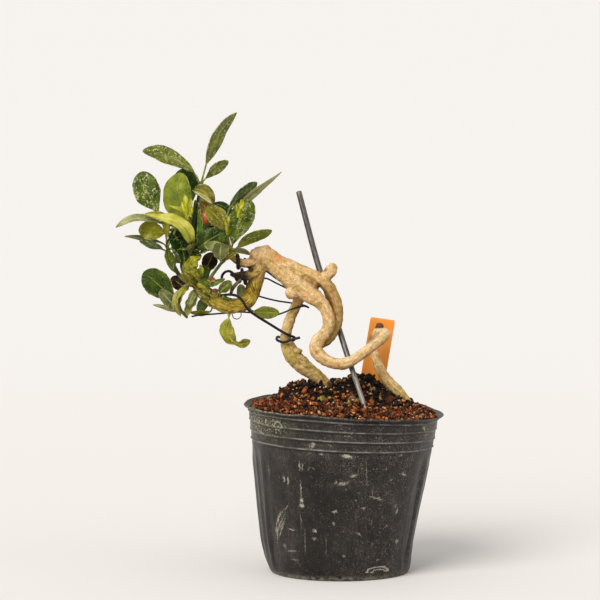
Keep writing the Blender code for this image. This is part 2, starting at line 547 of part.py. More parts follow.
# ---------------------------------------------------------------- leaves
# name: (colour, width as seen in grid steps, roll at foot and tip in degrees, fold in
#        degrees, (petiole share, widest at, foot taper, tip bluntness), axis rows (u, v, y mm))
# The first row lies on the twig's own line.  Roll 0 shows the whole width to the front and
# 90 would show the edge.  A tip bluntness of 0.5 is a half ellipse and 0.9 a point.
OVAL = (0.16, 0.62, 1.25, 0.5)
LONG = (0.14, 0.52, 1.0, 0.72)
LEAVES = {
    # top of the crown
    "leaf_apex_tall": ("dark", 11.5, (62, 60), 12, (0.22, 0.50, 0.9, 0.85),
                       [(200.8, 185, 0.5), (204.4, 171, -0.5), (211.5, 149, 1), (222.5, 128.5, 3.5), (237.2, 112.8, 8)]),
    "leaf_apex_small": ("dark", 9.5, (45, 48), 12, (0.22, 0.60, 1.0, 0.55),
                        [(201, 184.6, 0), (205.5, 178.5, -3), (215.5, 169, -5), (228.2, 161.2, -6)]),
    "leaf_apex_left": ("dark", 16.0, (48, 46), 12, (0.16, 0.56, 1.0, 0.62),
                       [(200.2, 185.4, 0), (195.4, 174.6, -2.5), (185, 165.2, -6), (170, 157.2, -10), (156, 152.4, -13.5), (142.8, 151, -16)]),
    "leaf_arch": ("olive", 15.0, (-34, -30), 10, (0.12, 0.50, 0.8, 0.6),
                  [(198.8, 193, 0.8), (194.5, 189.6, -3), (203, 191.6, -6), (213.6, 204.6, -5.6)]),
    "leaf_reddish": ("olive", 11.0, (10, 14), 10, (0.22, 0.55, 0.8, 0.55),
                     [(196.4, 206, 0.4), (197, 202.6, -1.6), (202, 204, -2.4), (210, 211, -2.2)]),
    # left side of the crown
    "leaf_left_oval": ("dark", 27.0, (6, 4), 12, (0.36, 0.56, 1.5, 0.5),
                       [(167.3, 243, -1), (164.6, 230, 1.5), (158.4, 213, 2.5), (147.6, 193, 4), (141.4, 171.8, 6)]),
    "leaf_centre_big": ("light", 29.0, (-6, 4), 10, (0.16, 0.58, 1.05, 0.56),
                        [(191.4, 240, -2), (186, 228, -7), (180.6, 212, -9.5), (177.4, 194, -10.5), (181, 172.6, -11)]),
    "leaf_centre_behind": ("dark", 25.0, (12, 14), 10, (0.2, 0.62, 1.1, 0.5),
                           [(193.2, 224, 0.5), (191.4, 212, 3), (186.6, 192, 4), (182.6, 168.4, 4)]),
    "leaf_far_left": ("mid", 8.5, (58, 54), 12, (0.16, 0.52, 1.0, 0.8),
                      [(172.5, 231.5, -3), (163, 223.4, -7.5), (150, 218.8, -11), (133, 219.4, -14.5), (115.8, 227.4, -18)]),
    "leaf_yellow_arch": ("young", 13.0, (10, 48), 14, (0.1, 0.38, 1.25, 1.25),
                         [(192.4, 247.6, -3), (192, 242.6, -12.6), (186.2, 229.6, -17), (175, 221, -17), (159, 217.6, -16), (142, 214.4, -14.4)]),
    "leaf_yellow_round": ("olive", 19.0, (10, 8), 8, (0.2, 0.56, 0.8, 0.5),
                          [(170.4, 237, -2.5), (164.5, 233, -6.5), (152, 231, -9.5), (138.6, 230, -12)]),
    "leaf_left_thin": ("mid", 5.0, (66, 66), 10, (0.12, 0.50, 1.0, 0.7),
                       [(167.5, 247, -1.5), (161, 242.6, -6.5), (146, 238.4, -8.5), (124.6, 237, -10.5)]),
    "leaf_left_dark": ("dark", 8.5, (52, 52), 10, (0.12, 0.50, 1.0, 0.7),
                       [(169, 252.4, -1.5), (162.6, 249.4, 2), (152, 244.8, 6), (139, 238, 12)]),
    "leaf_left_hanging": ("dark", 9.5, (44, 50), 10, (0.12, 0.52, 1.0, 0.6),
                          [(178.2, 273.6, -3), (173.6, 270.4, -7), (170, 260.4, -8), (167.6, 249, -7.6)]),
    # centre
    "leaf_olive_oval": ("olive", 19.0, (8, 10), 10, (0.24, 0.56, 0.8, 0.5),
                        [(227.3, 236, 1.5), (225.6, 229.4, -4.6), (217.6, 217.6, -8.6), (206.2, 207.4, -9.6)]),
    "leaf_centre_round": ("dark", 22.0, (12, 16), 12, (0.16, 0.58, 0.8, 0.5),
                          [(192, 252, -2), (199, 247.4, -7.5), (210, 239.6, -11), (224.4, 231.6, -13)]),
    "leaf_centre_edge": ("dark", 9.0, (52, 56), 10, (0.12, 0.50, 1.0, 0.7),
                         [(192.2, 247, -1.5), (196.6, 240, 3.2), (198, 222, 6), (194.6, 200, 8)]),
    "leaf_under_shoot": ("dark", 18.0, (30, 36), 12, (0.1, 0.50, 1.0, 0.6),
                         [(193.6, 262, -2.6), (187.4, 257, -6.4), (181, 246, -8), (172.4, 229.8, -8)]),
    "leaf_curly": ("young", 14.0, (16, 26), 16, (0.1, 0.55, 0.8, 0.5),
                   [(195.8, 277, -4), (192.6, 275, -10.6), (190.4, 266.4, -13), (194.4, 256, -14)]),
    "leaf_shade_left": ("dark", 14.0, (26, 30), 8, (0.1, 0.56, 0.8, 0.5),
                        [(189, 282.6, -4.5), (187, 287.4, 0.2), (180, 284, 2.4), (171.4, 277.6, 3.6)]),
    "leaf_shade_centre": ("dark", 15.5, (14, 18), 8, (0.46, 0.55, 0.8, 0.5),
                          [(205, 291, -4.6), (204.4, 281, 2.6), (206.6, 269, 4.4), (213.4, 252.8, 5.4)]),
    # low left
    "leaf_low_oval": ("dark", 26.0, (4, 2), 12, (0.10, 0.60, 1.0, 0.5),
                      [(179, 304.4, -10), (176, 301, -13), (162.6, 288.4, -15), (143.6, 272, -19)]),
    "leaf_low_fold": ("light", 13.0, (10, 8), 8, (0.1, 0.60, 0.9, 0.5),
                      [(182.4, 312.4, -10.2), (178.6, 309, -15), (170, 301.4, -17), (160, 290, -18)]),
    "leaf_low_thin": ("light", 4.5, (58, 60), 8, (0.1, 0.50, 0.8, 0.7),
                      [(182.2, 312, -10), (175.4, 311, -7), (165.4, 308, -6), (153, 304.6, -5)]),
    "leaf_low_droop": ("olive", 9.5, (38, 44), 10, (0.1, 0.48, 0.9, 0.6),
                       [(201.4, 290, -6.5), (197, 294.6, -11), (191, 302.6, -13.4), (187.4, 316, -14)]),
    "leaf_low_arc": ("olive", 7.0, (30, 34), 14, (0.08, 0.45, 0.8, 0.6),
                     [(182, 289.6, -9.4), (178.4, 292.4, -18), (175, 303, -21.6), (181, 316, -22)]),
    "leaf_low_shade": ("dark", 10.5, (16, 20), 8, (0.1, 0.55, 0.9, 0.5),
                       [(207.4, 295, -4), (205.4, 299, 1.5), (202.6, 305, 2.5), (198, 312, 3)]),
    "leaf_low_flat": ("light", 5.5, (52, 54), 8, (0.1, 0.50, 0.8, 0.6),
                      [(213.6, 301, -6), (210.4, 311.4, -4.4), (200, 312.8, -4.4), (190.4, 313.4, -5)]),
    "leaf_hanging_curl": ("young", 14.5, (12, 42), 12, (0.12, 0.34, 0.8, 0.5),
                          [(228.4, 309, -5.5), (228.8, 317, -10), (226.4, 328, -11.4), (231, 338.8, -11), (239.4, 343.6, -10), (250.4, 340.8, -9)]),
    # right side of the crown
    "leaf_inner_bright": ("mid", 12.6, (16, 18), 10, (0.12, 0.50, 0.9, 0.6),
                          [(247.6, 303, 0), (251.6, 310.4, 2.6), (264, 312.2, 2.4), (279.2, 312.8, 2)]),
    "leaf_small_bright": ("mid", 10.4, (10, 12), 10, (0.14, 0.54, 0.8, 0.5),
                          [(222.4, 303, -5.5), (220, 293.4, -10.6), (224.4, 287.4, -12), (231.6, 281.6, -11.6)]),
    "leaf_behind_branch": ("light", 10.0, (18, 20), 8, (0.12, 0.55, 0.9, 0.5),
                           [(249, 301, 1.5), (246.6, 301.5, 8.0), (242, 295, 9.0), (240.4, 284.4, 9.4)]),
    "leaf_right_oval": ("dark", 24.0, (-8, -6), 12, (0.2, 0.60, 1.3, 0.5),
                        [(231.4, 254, -3.4), (232.6, 244, -10), (238.4, 225, -12.6), (251, 200.6, -13.4)]),
    "leaf_right_slant": ("dark", 11.5, (48, 48), 12, (0.16, 0.56, 1.0, 0.6),
                         [(226, 223, 4.2), (229, 210, 8), (239.6, 196.4, 13), (257.4, 183, 20)]),
    "leaf_right_needle": ("mid", 6.0, (58, 62), 22, (0.16, 0.36, 0.9, 0.95),
                          [(226, 224, 4), (234, 211.6, 1), (251, 195.2, -3), (281.2, 171.6, -9)]),
    "leaf_right_shade": ("dark", 9.0, (36, 34), 8, (0.14, 0.50, 0.9, 0.6),
                         [(226.4, 229, 3.4), (228.6, 213.4, 9), (223.6, 206.6, 9.6), (213.4, 203.4, 9)]),
    "leaf_right_low": ("mid", 11.0, (50, 52), 12, (0.12, 0.52, 1.1, 0.65),
                       [(231.8, 253.6, -2.4), (238.6, 246.4, -6.6), (252, 238, -12), (271.6, 230.4, -18)]),
    "leaf_right_small": ("light", 5.0, (52, 54), 8, (0.12, 0.52, 1.0, 0.6),
                         [(229.6, 249.6, -0.8), (234, 249, 5), (242, 251, 7), (250.6, 255, 8)]),
    "leaf_right_blade": ("light", 12.0, (8, 10), 14, (0.14, 0.50, 0.9, 0.65),
                         [(223.8, 259.8, -8.9), (225, 254, -12.8), (217.6, 247.8, -15.8), (203.6, 244.2, -16)]),
    "leaf_right_under": ("light", 16.5, (2, 4), 12, (0.24, 0.84, 1.25, 0.3),
                         [(222.6, 262, -8.7), (220.2, 260, -15), (220.2, 252, -20), (221.4, 243.6, -20)]),
    # behind the crown, out of the elevation's sight
    "leaf_back_high": ("dark", 22.0, (30, 26), 12, OVAL,
                       [(195.8, 208, 0.8), (199.6, 205, 9), (202, 201, 16), (204, 198, 32)]),
    "leaf_back_centre": ("dark", 24.0, (24, 20), 12, OVAL,
                         [(192.3, 234, -0.4), (187, 230, 8), (182, 224, 16), (178, 217, 28)]),
    "leaf_back_right": ("mid", 22.0, (-20, -24), 12, OVAL,
                        [(192.2, 249, -1.4), (201, 247, 8), (208, 244, 16), (214, 241, 27)]),
    "leaf_back_left": ("mid", 20.0, (26, 24), 12, OVAL,
                       [(174, 266, -2), (176, 262, 6), (179, 257, 14), (182, 247, 29)]),
    "leaf_back_low": ("dark", 21.0, (-20, -16), 12, OVAL,
                      [(194.4, 268, -2.6), (198, 272, 7), (204, 275, 15), (208, 278, 25)]),
}
VIEW = Vector((0.0, 1.0, -0.12)).normalized()


def frame_at(line, k, roll):
    """Tangent, width direction and face normal of a leaf's axis at sample k."""
    a, b = line[max(0, k - 1)], line[min(len(line) - 1, k + 1)]
    tangent = Vector(b - a).normalized()
    flat = tangent.cross(VIEW)
    flat.normalize()
    toward = flat.cross(tangent).normalized()      # towards the eye
    if toward.dot(VIEW) > 0:
        toward.negate()
    r = math.radians(roll)
    width = flat * math.cos(r) + toward * math.sin(r)
    normal = toward * math.cos(r) - flat * math.sin(r)
    return tangent, width, normal


def outline(t, petiole, widest, foot, tip):
    """Half-width share along the axis: a thin petiole, then a blade widening and closing."""
    if t <= petiole:
        return 0.0
    u = (t - petiole) / (1 - petiole)
    if u < widest:
        return math.sin(math.pi / 2 * u / widest) ** foot
    return max(0.0, 1 - ((u - widest) / (1 - widest)) ** 2) ** tip


WOOD = np.array([q for path in LIMBS.values() for q in smooth(rows_from(path), 80)])


def clear_start(line, lengths):
    """How far along a leaf's axis its stalk is clear of the wood it grows from."""
    for p, far in zip(line, lengths):
        gap = np.linalg.norm(WOOD[:, :3] - p, axis=1) - WOOD[:, 3]
        if gap.min() > 0.9 * MM:
            return far
    return 0.0


def leaf_mesh(name, spec, across=2, along=9):
    colour, seen, rolls, fold, shape, axis = spec
    petiole = shape[0]
    line = smooth([at(*row) for row in axis], 60)
    lengths = [0.0]
    for a, b in zip(line, line[1:]):
        lengths.append(lengths[-1] + float(np.linalg.norm(b - a)))
    first = clear_start(line, lengths)
    tilt = math.radians(fold)
    width = seen * PX / math.cos(math.radians((rolls[0] + rolls[1]) / 2)) / math.cos(tilt)
    bm = bmesh.new()
    bmesh.ops.create_grid(bm, x_segments=across, y_segments=along, size=1.0)
    for v in bm.verts:
        side, f = v.co.x, (v.co.y + 1) / 2 * along
        # rows crowd towards the tip and the blade's foot, where the outline turns fastest
        t = petiole * f if f <= 1.0001 else (
            petiole + (1 - petiole) * (0.5 - 0.5 * math.cos(math.pi * (f - 1) / (along - 1))))
        want = first + t * (lengths[-1] - first)
        k = min(range(len(line)), key=lambda i: abs(lengths[i] - want))
        i = k - 1 if lengths[k] > want and k > 0 else k
        i = min(i, len(line) - 2)
        g = (want - lengths[i]) / max(1e-9, lengths[i + 1] - lengths[i])
        centre = Vector(line[i] * (1 - g) + line[i + 1] * g)
        _, across_dir, normal = frame_at(line, k, rolls[0] + (rolls[1] - rolls[0]) * t)
        half = max(0.34, width / 2 * outline(t, *shape)) * MM
        v.co = (centre + across_dir * (side * half * math.cos(tilt))
                + normal * (abs(side) * half * math.sin(tilt)))
    mesh = bpy.data.meshes.new(name)
    bm.to_mesh(mesh)
    bm.free()
    obj = bpy.data.objects.new(name, mesh)
    solid = obj.modifiers.new("thickness", "SOLIDIFY")
    solid.thickness = LEAF_THICK * MM
    solid.offset = 0.0
    mesh.shade_smooth()
    return link(obj, LEAF[colour])


for key, spec in LEAVES.items():
    leaf_mesh(key, spec)


# ---------------------------------------------------------------- young shoots
SHOOTS = {
    "shoot_centre": [(193.6, 240, -3.4, 0.8), (191, 233, -7.4, 0.9), (188.6, 226, -10.4, 1.2),
                     (187.2, 218.5, -14.2, 1.6), (186, 209, -18.6, 2.4), (184.6, 198.4, -18.8, 1.2)],
    "shoot_right_stem": [(228.6, 249.6, -4.8, 0.8), (228, 246, -10, 0.9), (228, 240, -15, 1.1),
                         (227.2, 230, -16.4, 1.8), (226, 219, -16.4, 1.1)],
    "shoot_right_tip": [(229.4, 236, -17.8, 0.7), (232.6, 230, -18.2, 0.9), (236.8, 221, -18.4, 1.0),
                        (239, 211, -18.6, 1.6), (241.4, 200.4, -18.8, 0.9)],
}
for key, path in SHOOTS.items():
    shoot = mesh_of(tube_curve(key, rows_from(path), sides=8, samples=11), parts)
    shoot.data.materials.clear()
    shoot.data.materials.append(LEAF["young"])
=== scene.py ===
"""Looks of a small kumquat bonsai in a thin black nursery pot.

Metres, +Z up, the origin at the centre of the pot's flat underside, the tree's front
towards -Y.  Forms are read off a front elevation drawn on a 600 x 600 grid, seen from EYE:
at(u, v, y) is the point of the sight line through grid point (u, v) that lies y
millimetres behind the pot's axis.
"""

import math

import bmesh
import bpy
import numpy as np
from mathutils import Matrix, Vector, noise
from mathutils.bvhtree import BVHTree
from mathutils.kdtree import KDTree


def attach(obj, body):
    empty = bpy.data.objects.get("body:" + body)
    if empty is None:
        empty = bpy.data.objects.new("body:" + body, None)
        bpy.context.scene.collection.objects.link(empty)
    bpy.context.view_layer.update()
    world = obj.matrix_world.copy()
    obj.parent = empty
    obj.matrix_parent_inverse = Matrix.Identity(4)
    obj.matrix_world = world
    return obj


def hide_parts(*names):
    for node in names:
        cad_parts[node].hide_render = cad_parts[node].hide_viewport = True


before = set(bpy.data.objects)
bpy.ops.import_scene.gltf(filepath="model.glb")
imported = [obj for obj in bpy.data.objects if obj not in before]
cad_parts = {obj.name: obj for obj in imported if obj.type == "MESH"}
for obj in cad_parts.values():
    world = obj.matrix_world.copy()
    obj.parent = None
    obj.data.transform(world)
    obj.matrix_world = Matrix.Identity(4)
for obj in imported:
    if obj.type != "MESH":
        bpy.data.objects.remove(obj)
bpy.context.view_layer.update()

MM = 0.001
EYE = np.array((-0.021, -2.015, 0.3264))
PITCH = math.radians(-5.19)
FOCAL = 3857.0
PX = 0.5255

POT_RIM_R, POT_BASE_R, POT_HEIGHT, POT_WALL = 52.5, 35.6, 86.0, 0.8
RIB_HEIGHTS = (68.7, 73.6, 78.5, 83.2)
SOIL_GAP = 0.35
STAKE_D = 3.2
LABEL_W, LABEL_T = 13.2, 0.8


# ---------------------------------------------------------------- elevation and curves
def at(u, v, y):
    c, s = math.cos(PITCH), math.sin(PITCH)
    du, dv = (u - 300.0) / FOCAL, (300.0 - v) / FOCAL
    d = np.array((du, c - s * dv, s + c * dv))
    return EYE + d * ((y * MM - EYE[1]) / d[1])


def onto(points):
    """Grid coordinates (u, v) at which points in metres are seen from EYE."""
    p = np.asarray(points, float).reshape(-1, 3) - EYE
    c, s = math.cos(PITCH), math.sin(PITCH)
    depth = p[:, 1] * c + p[:, 2] * s
    up = -p[:, 1] * s + p[:, 2] * c
    return np.stack([300 + FOCAL * p[:, 0] / depth, 300 - FOCAL * up / depth], 1)


def smooth(points, count):
    """count + 1 samples of a Catmull-Rom curve through rows of numbers."""
    p = [np.array(q, float) for q in points]
    ext = [2 * p[0] - p[1]] + p + [2 * p[-1] - p[-2]]
    out = []
    for k in range(count + 1):
        t = k / count * (len(p) - 1)
        i = min(int(t), len(p) - 2)
        f = t - i
        a, b, c, d = ext[i], ext[i + 1], ext[i + 2], ext[i + 3]
        out.append(0.5 * (2 * b + (c - a) * f + (2 * a - 5 * b + 4 * c - d) * f * f
                          + (3 * b - a - 3 * c + d) * f ** 3))
    return np.array(out)


def rows_from(path, extra=0.0):
    return [(*at(u, v, y), (r * PX + extra) * MM) for u, v, y, r in path]


def unit(v):
    return v / np.maximum(np.linalg.norm(v, axis=-1, keepdims=True), 1e-12)


def fade(x, low, high):
    """0 at low, 1 at high, with a smooth turn between."""
    t = np.clip((np.asarray(x, float) - low) / (high - low), 0, 1)
    return t * t * (3 - 2 * t)


def wave3(p, scale, seed, octaves=3):
    """Smooth noise in about -1..1 at points in metres; scale is features per millimetre."""
    rng = np.random.default_rng(seed)
    q = np.asarray(p, float) / MM * scale
    out = np.zeros(len(q))
    amp, total = 1.0, 0.0
    for _ in range(octaves):
        shift = rng.uniform(-50, 50, 3)
        out += amp * np.array([noise.noise(Vector(c + shift)) for c in q])
        total += amp
        amp *= 0.5
        q = q * 2.03
    return out / total * 1.6


# ---------------------------------------------------------------- mesh collecting
class Pieces:
    """Collects vertices, faces, material numbers and point attributes of one object."""

    def __init__(self):
        self.v, self.f, self.m, self.count = [], [], [], 0
        self.attributes = {}

    def add(self, verts, faces, mat=0, **attributes):
        verts = np.asarray(verts, float)
        self.f += [tuple(i + self.count for i in face) for face in faces]
        self.m += [mat] * len(faces)
        for key, value in attributes.items():
            value = np.asarray(value, float)
            if value.ndim < 1 or len(value) != len(verts):
                value = np.broadcast_to(value, (len(verts),) + value.shape)
            self.attributes.setdefault(key, []).append((self.count, np.array(value)))
        self.v.append(verts)
        self.count += len(verts)

    def object(self, name, materials, sharp=None):
        mesh = bpy.data.meshes.new(name)
        mesh.from_pydata(np.concatenate(self.v).tolist(), [], self.f)
        mesh.polygons.foreach_set("material_index", self.m)
        for key, rows in self.attributes.items():
            width = rows[0][1].shape[1] if rows[0][1].ndim > 1 else 1
            data = np.zeros((self.count, width), np.float32)
            for first, value in rows:
                data[first:first + len(value)] = value.reshape(len(value), width)
            kind, field = ("FLOAT", "value") if width == 1 else ("FLOAT_VECTOR", "vector")
            mesh.attributes.new(key, kind, "POINT").data.foreach_set(field, data.ravel())
        mesh.update()
        mesh.shade_smooth()
        if sharp:
            mesh.set_sharp_from_angle(angle=math.radians(sharp))
        obj = bpy.data.objects.new(name, mesh)
        bpy.context.scene.collection.objects.link(obj)
        for mat in materials:
            mesh.materials.append(mat)
        return obj


def grid_faces(rows, cols, closed=False, flip=False):
    out = []
    for i in range(rows - 1):
        for j in range(cols if closed else cols - 1):
            k = (j + 1) % cols
            face = (i * cols + j, i * cols + k, (i + 1) * cols + k, (i + 1) * cols + j)
            out.append(face[::-1] if flip else face)
    return out


def tube(rows, sides=14, samples=None, ends=True, tip=1.0):
    """A round tube through rows of (x, y, z, radius) in metres, with rounded ends.

    Returns vertices, faces, the sample each vertex belongs to and its angle."""
    line = smooth(rows, samples or (len(rows) - 1) * 6)
    p, r = line[:, :3], np.maximum(line[:, 3], 0.00004)
    if ends:
        t0, t1 = unit(p[1] - p[0]), unit(p[-1] - p[-2])
        angles = np.radians((88, 62, 36, 14))
        head = [(p[0] - t0 * r[0] * tip * math.sin(a), r[0] * math.cos(a)) for a in angles]
        tail = [(p[-1] + t1 * r[-1] * tip * math.sin(a), r[-1] * math.cos(a)) for a in angles[::-1]]
        p = np.array([h[0] for h in head] + list(p) + [h[0] for h in tail])
        r = np.array([h[1] for h in head] + list(r) + [h[1] for h in tail])
    tangent = unit(np.gradient(p, axis=0))
    side = np.cross(tangent[0], (0.31, 0.2, 0.93))
    side = side / np.linalg.norm(side)
    sides_list = []
    for k in range(len(p)):
        side = side - tangent[k] * side.dot(tangent[k])
        side = side / np.linalg.norm(side)
        sides_list.append(side)
    side = np.array(sides_list)
    up = np.cross(tangent, side)
    a = np.linspace(0, 2 * math.pi, sides, endpoint=False)
    ring = (side[:, None, :] * np.cos(a)[None, :, None] + up[:, None, :] * np.sin(a)[None, :, None])
    verts = (p[:, None, :] + ring * r[:, None, None]).reshape(-1, 3)
    faces = grid_faces(len(p), sides, closed=True, flip=True)
    faces.append(tuple(range(sides)))
    last = (len(p) - 1) * sides
    faces.append(tuple(last + k for k in range(sides))[::-1])
    faces = [f[::-1] for f in faces]
    return verts, faces, np.repeat(np.arange(len(p)), sides), np.tile(a, len(p))


def show(obj, node):
    """The object rides on the part's one body, in the place of a node."""
    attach(obj, "root")
    for n in ([node] if isinstance(node, str) else node):
        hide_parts(n)
    return obj


# ---------------------------------------------------------------- node materials
class Look:
    """A Principled material whose sockets are fed by procedural nodes."""

    def __init__(self, name, rough=0.5, specular=0.5, metallic=0.0):
        self.mat = bpy.data.materials.new(name)
        self.mat.use_nodes = True
        self.tree = self.mat.node_tree
        self.shader = self.tree.nodes["Principled BSDF"]
        self.shader.inputs["Roughness"].default_value = rough
        self.shader.inputs["Specular IOR Level"].default_value = specular
        self.shader.inputs["Metallic"].default_value = metallic

    def put(self, socket, value):
        if isinstance(value, bpy.types.NodeSocket):
            self.tree.links.new(value, socket)
        elif isinstance(value, (tuple, list)) and len(value) == 3 and socket.type == "RGBA":
            socket.default_value = (*value, 1.0)
        else:
            socket.default_value = value

    def new(self, kind, **props):
        node = self.tree.nodes.new("ShaderNode" + kind)
        for key, value in props.items():
            setattr(node, key, value)
        return node

    def mm(self, stretch=(1, 1, 1), turn=(0, 0, 0)):
        """Place on the object in millimetres, stretched along the axes."""
        coords = self.new("TexCoord").outputs["Object"]
        mapping = self.new("Mapping")
        self.put(mapping.inputs["Vector"], coords)
        mapping.inputs["Scale"].default_value = tuple(1000.0 * s for s in stretch)
        mapping.inputs["Rotation"].default_value = turn
        return mapping.outputs[0]

    def attribute(self, name, out="Vector"):
        return self.new("Attribute", attribute_name=name).outputs[out]

    def split(self, vector):
        node = self.new("SeparateXYZ")
        self.put(node.inputs[0], vector)
        return node.outputs[0], node.outputs[1], node.outputs[2]

    def join(self, x, y, z=0.0):
        node = self.new("CombineXYZ")
        for k, value in enumerate((x, y, z)):
            self.put(node.inputs[k], value)
        return node.outputs[0]

    def math(self, operation, a, b=0.0, c=0.0, clamp=False):
        node = self.new("Math", operation=operation, use_clamp=clamp)
        self.put(node.inputs[0], a)
        self.put(node.inputs[1], b)
        self.put(node.inputs[2], c)
        return node.outputs[0]

    def vec(self, operation, a, b=(0, 0, 0), out=0):
        node = self.new("VectorMath", operation=operation)
        self.put(node.inputs[0], a)
        self.put(node.inputs[1], b)
        return node.outputs[out]

    def noise(self, coords, scale, detail=2.0, rough=0.5, distort=0.0, out="Fac"):
        node = self.new("TexNoise")
        self.put(node.inputs["Vector"], coords)
        node.inputs["Scale"].default_value = scale
        node.inputs["Detail"].default_value = detail
        node.inputs["Roughness"].default_value = rough
        node.inputs["Distortion"].default_value = distort
        return node.outputs[out]

    def cells(self, coords, scale, feature="F1", out="Distance", spread=1.0):
        node = self.new("TexVoronoi", feature=feature)
        self.put(node.inputs["Vector"], coords)
        node.inputs["Scale"].default_value = scale
        node.inputs["Randomness"].default_value = spread
        return node.outputs[out]

    def step(self, value, low, high, to_low=0.0, to_high=1.0):
        node = self.new("MapRange", interpolation_type="SMOOTHSTEP")
        self.put(node.inputs["Value"], value)
        node.inputs["From Min"].default_value = low
        node.inputs["From Max"].default_value = high
        node.inputs["To Min"].default_value = to_low
        node.inputs["To Max"].default_value = to_high
        return node.outputs["Result"]

    def mix(self, factor, a, b, blend="MIX"):
        node = self.new("Mix", data_type="RGBA", blend_type=blend)
        self.put(node.inputs[0], factor)
        self.put(node.inputs[6], a)
        self.put(node.inputs[7], b)
        return node.outputs[2]

    def ramp(self, value, stops):
        node = self.new("ValToRGB")
        self.put(node.inputs[0], value)
        band = node.color_ramp
        while len(band.elements) < len(stops):
            band.elements.new(0.5)
        for element, (place, colour) in zip(band.elements, stops):
            element.position = place
            element.color = (*colour, 1.0)
        return node.outputs[0]

    def finish(self, colour, rough=None, height=None, depth=0.1, strength=1.0):
        """depth is the bump's height in millimetres."""
        self.put(self.shader.inputs["Base Color"], colour)
        if rough is not None:
            self.put(self.shader.inputs["Roughness"], rough)
        if height is not None:
            bump = self.new("Bump")
            bump.inputs["Strength"].default_value = strength
            bump.inputs["Distance"].default_value = depth * MM
            self.put(bump.inputs["Height"], height)
            self.put(self.shader.inputs["Normal"], bump.outputs[0])
        return self.mat


def grey(c):
    return (c, c, c)


